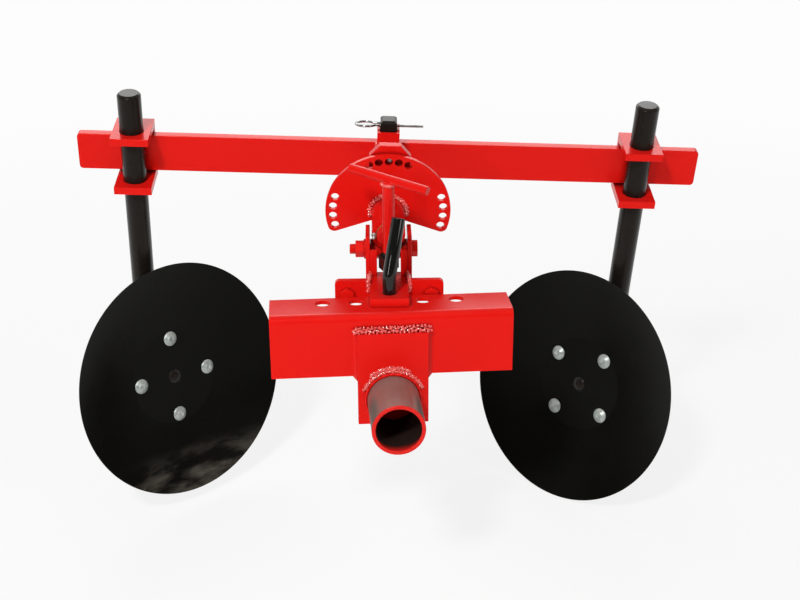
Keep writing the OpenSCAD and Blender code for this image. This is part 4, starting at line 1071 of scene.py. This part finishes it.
def addThreads():
    s = threadSettings
    bare, gap = s["bareEnd"], s["endGap"]
    boltEnd = reach("pivot_bolt", tongueFrame)[0].x
    nutLow, nutHigh = reach("pivot_nut", tongueFrame)
    start = (boltEnd + bare, (nutLow.y + nutHigh.y) / 2, (nutLow.z + nutHigh.z) / 2)
    thread("pivotThread", "tongue", tongueFrame, start, alongX, nutLow.x - boltEnd - bare, "m12")
    nutLow, nutHigh = reach("swing_lock_nuts", tongueFrame)
    length = reach("swing_set_bolts", tongueFrame)[1].y - nutHigh.y - gap
    for sign, side in signs:
        start = (sign * (nutHigh.x - s["lockNutHalf"]), nutHigh.y, (nutLow.z + nutHigh.z) / 2)
        thread("swingThread" + side, "tongue", tongueFrame, start, alongY, length, "m10")
    nutTop = reach("screw_nut", screwFrame)[1].z
    length = reach("depth_screw", screwFrame)[1].z - nutTop - 2 * gap
    along = (screwFrame, (0, 0, nutTop + gap), alongZ, length)
    thread("depthThread", "depth_screw", *along, "screw", blackPaint, "black_paint")
    for side in sides:
        placed = clampFrame[side]
        boltLow, boltHigh = reach(side + "_clamp_bolt", placed)
        middle, clamp, tail = (boltLow + boltHigh) / 2, side + "_clamp", s["clampTail"]
        start = (middle.x, reach(clamp, placed)[1].y, middle.z)
        thread(side + "ClampThread", clamp, placed, start, alongY, tail, "m12", zincPlate, "zinc_plate")


addThreads()
print("fasteners and threads made")

# grease nipple: hexagon, neck and ball end
nippleSettings = dict(lengths(crown=((0, 0), (1, 0), (2.1, 1.2), (2.1, 1.9), (1.5, 2.8)), foot=1.8, stem=1.7,
                              hexRadius=3.1, hexHeight=2.6, chamfer=0.5), sides=6, steps=32, smooth=40)


def makeNipple():
    s = nippleSettings
    low, high = reach("grease_nipple", armFrame)
    face = reach("roll_tube", armFrame)[0].y
    base = armFrame @ Vector(((low.x + high.x) / 2, face, (low.z + high.z) / 2))
    placed = axesAt(base, directed(armFrame, alongX), directed(armFrame, toFront))
    length, seat, hexTop = face - low.y, face - high.y, s["hexHeight"]
    profile = below(length, s["crown"])
    profile += [(s["foot"], hexTop), (s["stem"], hexTop), (s["stem"], seat), (0, seat)]
    turnedPiece("grease_nipple", profile, placed, s, zincPlate)
    outer, cut = s["hexRadius"], s["chamfer"]
    profile = [(0, hexTop), (outer - cut, hexTop), (outer, hexTop - cut), (outer, 0), (0, 0)]
    finishPiece(spinProfile("greaseNippleHex", profile, placed, s["sides"]), "arm", zincPlate, "zinc_plate")


makeNipple()

# camera at the photograph's place
cameraSettings = {"place": (-0.09898, -1.35239, 0.65966), "down": 21.608, "yaw": -4.529, "roll": -0.336,
                  "lens": 58.97, "sensor": 36}


def addCamera():
    s = cameraSettings
    data = bpy.data.cameras.new("camera")
    data.lens = s["lens"]
    data.sensor_width = s["sensor"]
    camera = addObject("camera", data)
    yaw, tip, roll = (math.radians(a) for a in (s["yaw"], 90 - s["down"], s["roll"]))
    turned = Matrix.Rotation(yaw, 4, "Z") @ Matrix.Rotation(tip, 4, "X") @ Matrix.Rotation(roll, 4, "Z")
    camera.matrix_world = Matrix.Translation(s["place"]) @ turned
    bpy.context.scene.camera = camera


# pale floor, white surroundings and soft lamps: place, width and height, power
white = (1, 1, 1, 1)
studioSettings = {
    "floorSize": 14.0, "floor": (0.9, 0.9, 0.9, 1), "floorRough": 0.9, "floorGlow": (0.8, 0.97),
    "glowReach": (0.7, 3.2), "behind": (-0.45, 0.35), "above": (0.45, 0.85),
    "ambient": 0.26, "frontGloss": 0.10, "backGloss": 1.0, "skyGloss": 0.9,
    "lamps": {"key": ((-0.9, -1.9, 2.1), (0.36, 0.36), 52.0), "back": ((0.0, 2.1, 1.6), (2.6, 1.2), 22.0),
              "fill": ((1.9, -1.5, 1.0), (0.8, 0.8), 8.0), "strip": ((-1.1, -1.7, 0.62), (0.12, 0.6), 6.0)},
}


def seenDirectly(tree):
    # camera rays, and mirror and see-through rays, which show the background itself
    rays = tree.nodes.new("ShaderNodeLightPath").outputs
    return rays["Is Camera Ray"], compute("MAXIMUM", rays["Is Glossy Ray"], rays["Is Transmission Ray"])


def blend(factor, first, second):
    return outOf("ShaderNodeMixShader", {0: factor, 1: first, 2: second})


def addFloor():
    s = studioSettings
    half, z = s["floorSize"] / 2, cadBox[0].z
    mesh = bpy.data.meshes.new("floor")
    corners = [(-half, -half, z), (half, -half, z), (half, half, z), (-half, half, z)]
    mesh.from_pydata(corners, [], [(0, 1, 2, 3)])
    pale, tree, shader = newMaterial("floorPale")
    setInputs(shader, {"Base Color": s["floor"], "Roughness": s["floorRough"], "Specular IOR Level": 0.0})
    glow = addNode(tree, "ShaderNodeEmission", {"Color": white, "Strength": 1.0}).outputs[0]
    away = fedNode("ShaderNodeVectorMath", {0: objectPlace(tree)}, operation="LENGTH").outputs["Value"]
    whiter = ramp(away, s["glowReach"], *s["floorGlow"])
    shown = product(compute("MAXIMUM", *seenDirectly(tree)), whiter)
    setInputs(tree.nodes["Material Output"], {0: blend(shown, shader.outputs[0], glow)})
    mesh.materials.append(pale)
    addObject("floor", mesh)


def addWorld():
    s = studioSettings
    world = bpy.data.worlds.new("studio")
    bpy.context.scene.world = world
    world.use_nodes = True
    tree = world.node_tree
    tree.nodes.clear()
    parts = split(addNode(tree, "ShaderNodeTexCoord").outputs["Generated"])
    behind = ramp(parts["Y"], s["behind"], s["frontGloss"], s["backGloss"])
    gloss = compute("MAXIMUM", behind, ramp(parts["Z"], s["above"], 0.0, s["skyGloss"]))
    shown, light, shine = (
        addNode(tree, "ShaderNodeBackground", {"Color": white, "Strength": strength}).outputs[0]
        for strength in (1.0, s["ambient"], gloss))
    camera, mirrored = seenDirectly(tree)
    mixed = blend(camera, blend(mirrored, light, shine), shown)
    addNode(tree, "ShaderNodeOutputWorld", {0: mixed})


def addLamps():
    aim = (Vector(cadBox[0]) + Vector(cadBox[1])) / 2
    for name, (place, (wide, tall), energy) in studioSettings["lamps"].items():
        data = bpy.data.lights.new(name, "AREA")
        data.shape = "RECTANGLE"
        data.size = wide
        data.size_y = tall
        data.energy = energy
        lamp = addObject(name, data)
        lamp.location = place
        lamp.rotation_euler = (aim - Vector(place)).to_track_quat("-Z", "Y").to_euler()


addCamera()
addFloor()
addWorld()
addLamps()
bpy.context.scene.view_settings.view_transform = "Standard"
print("camera and studio set")
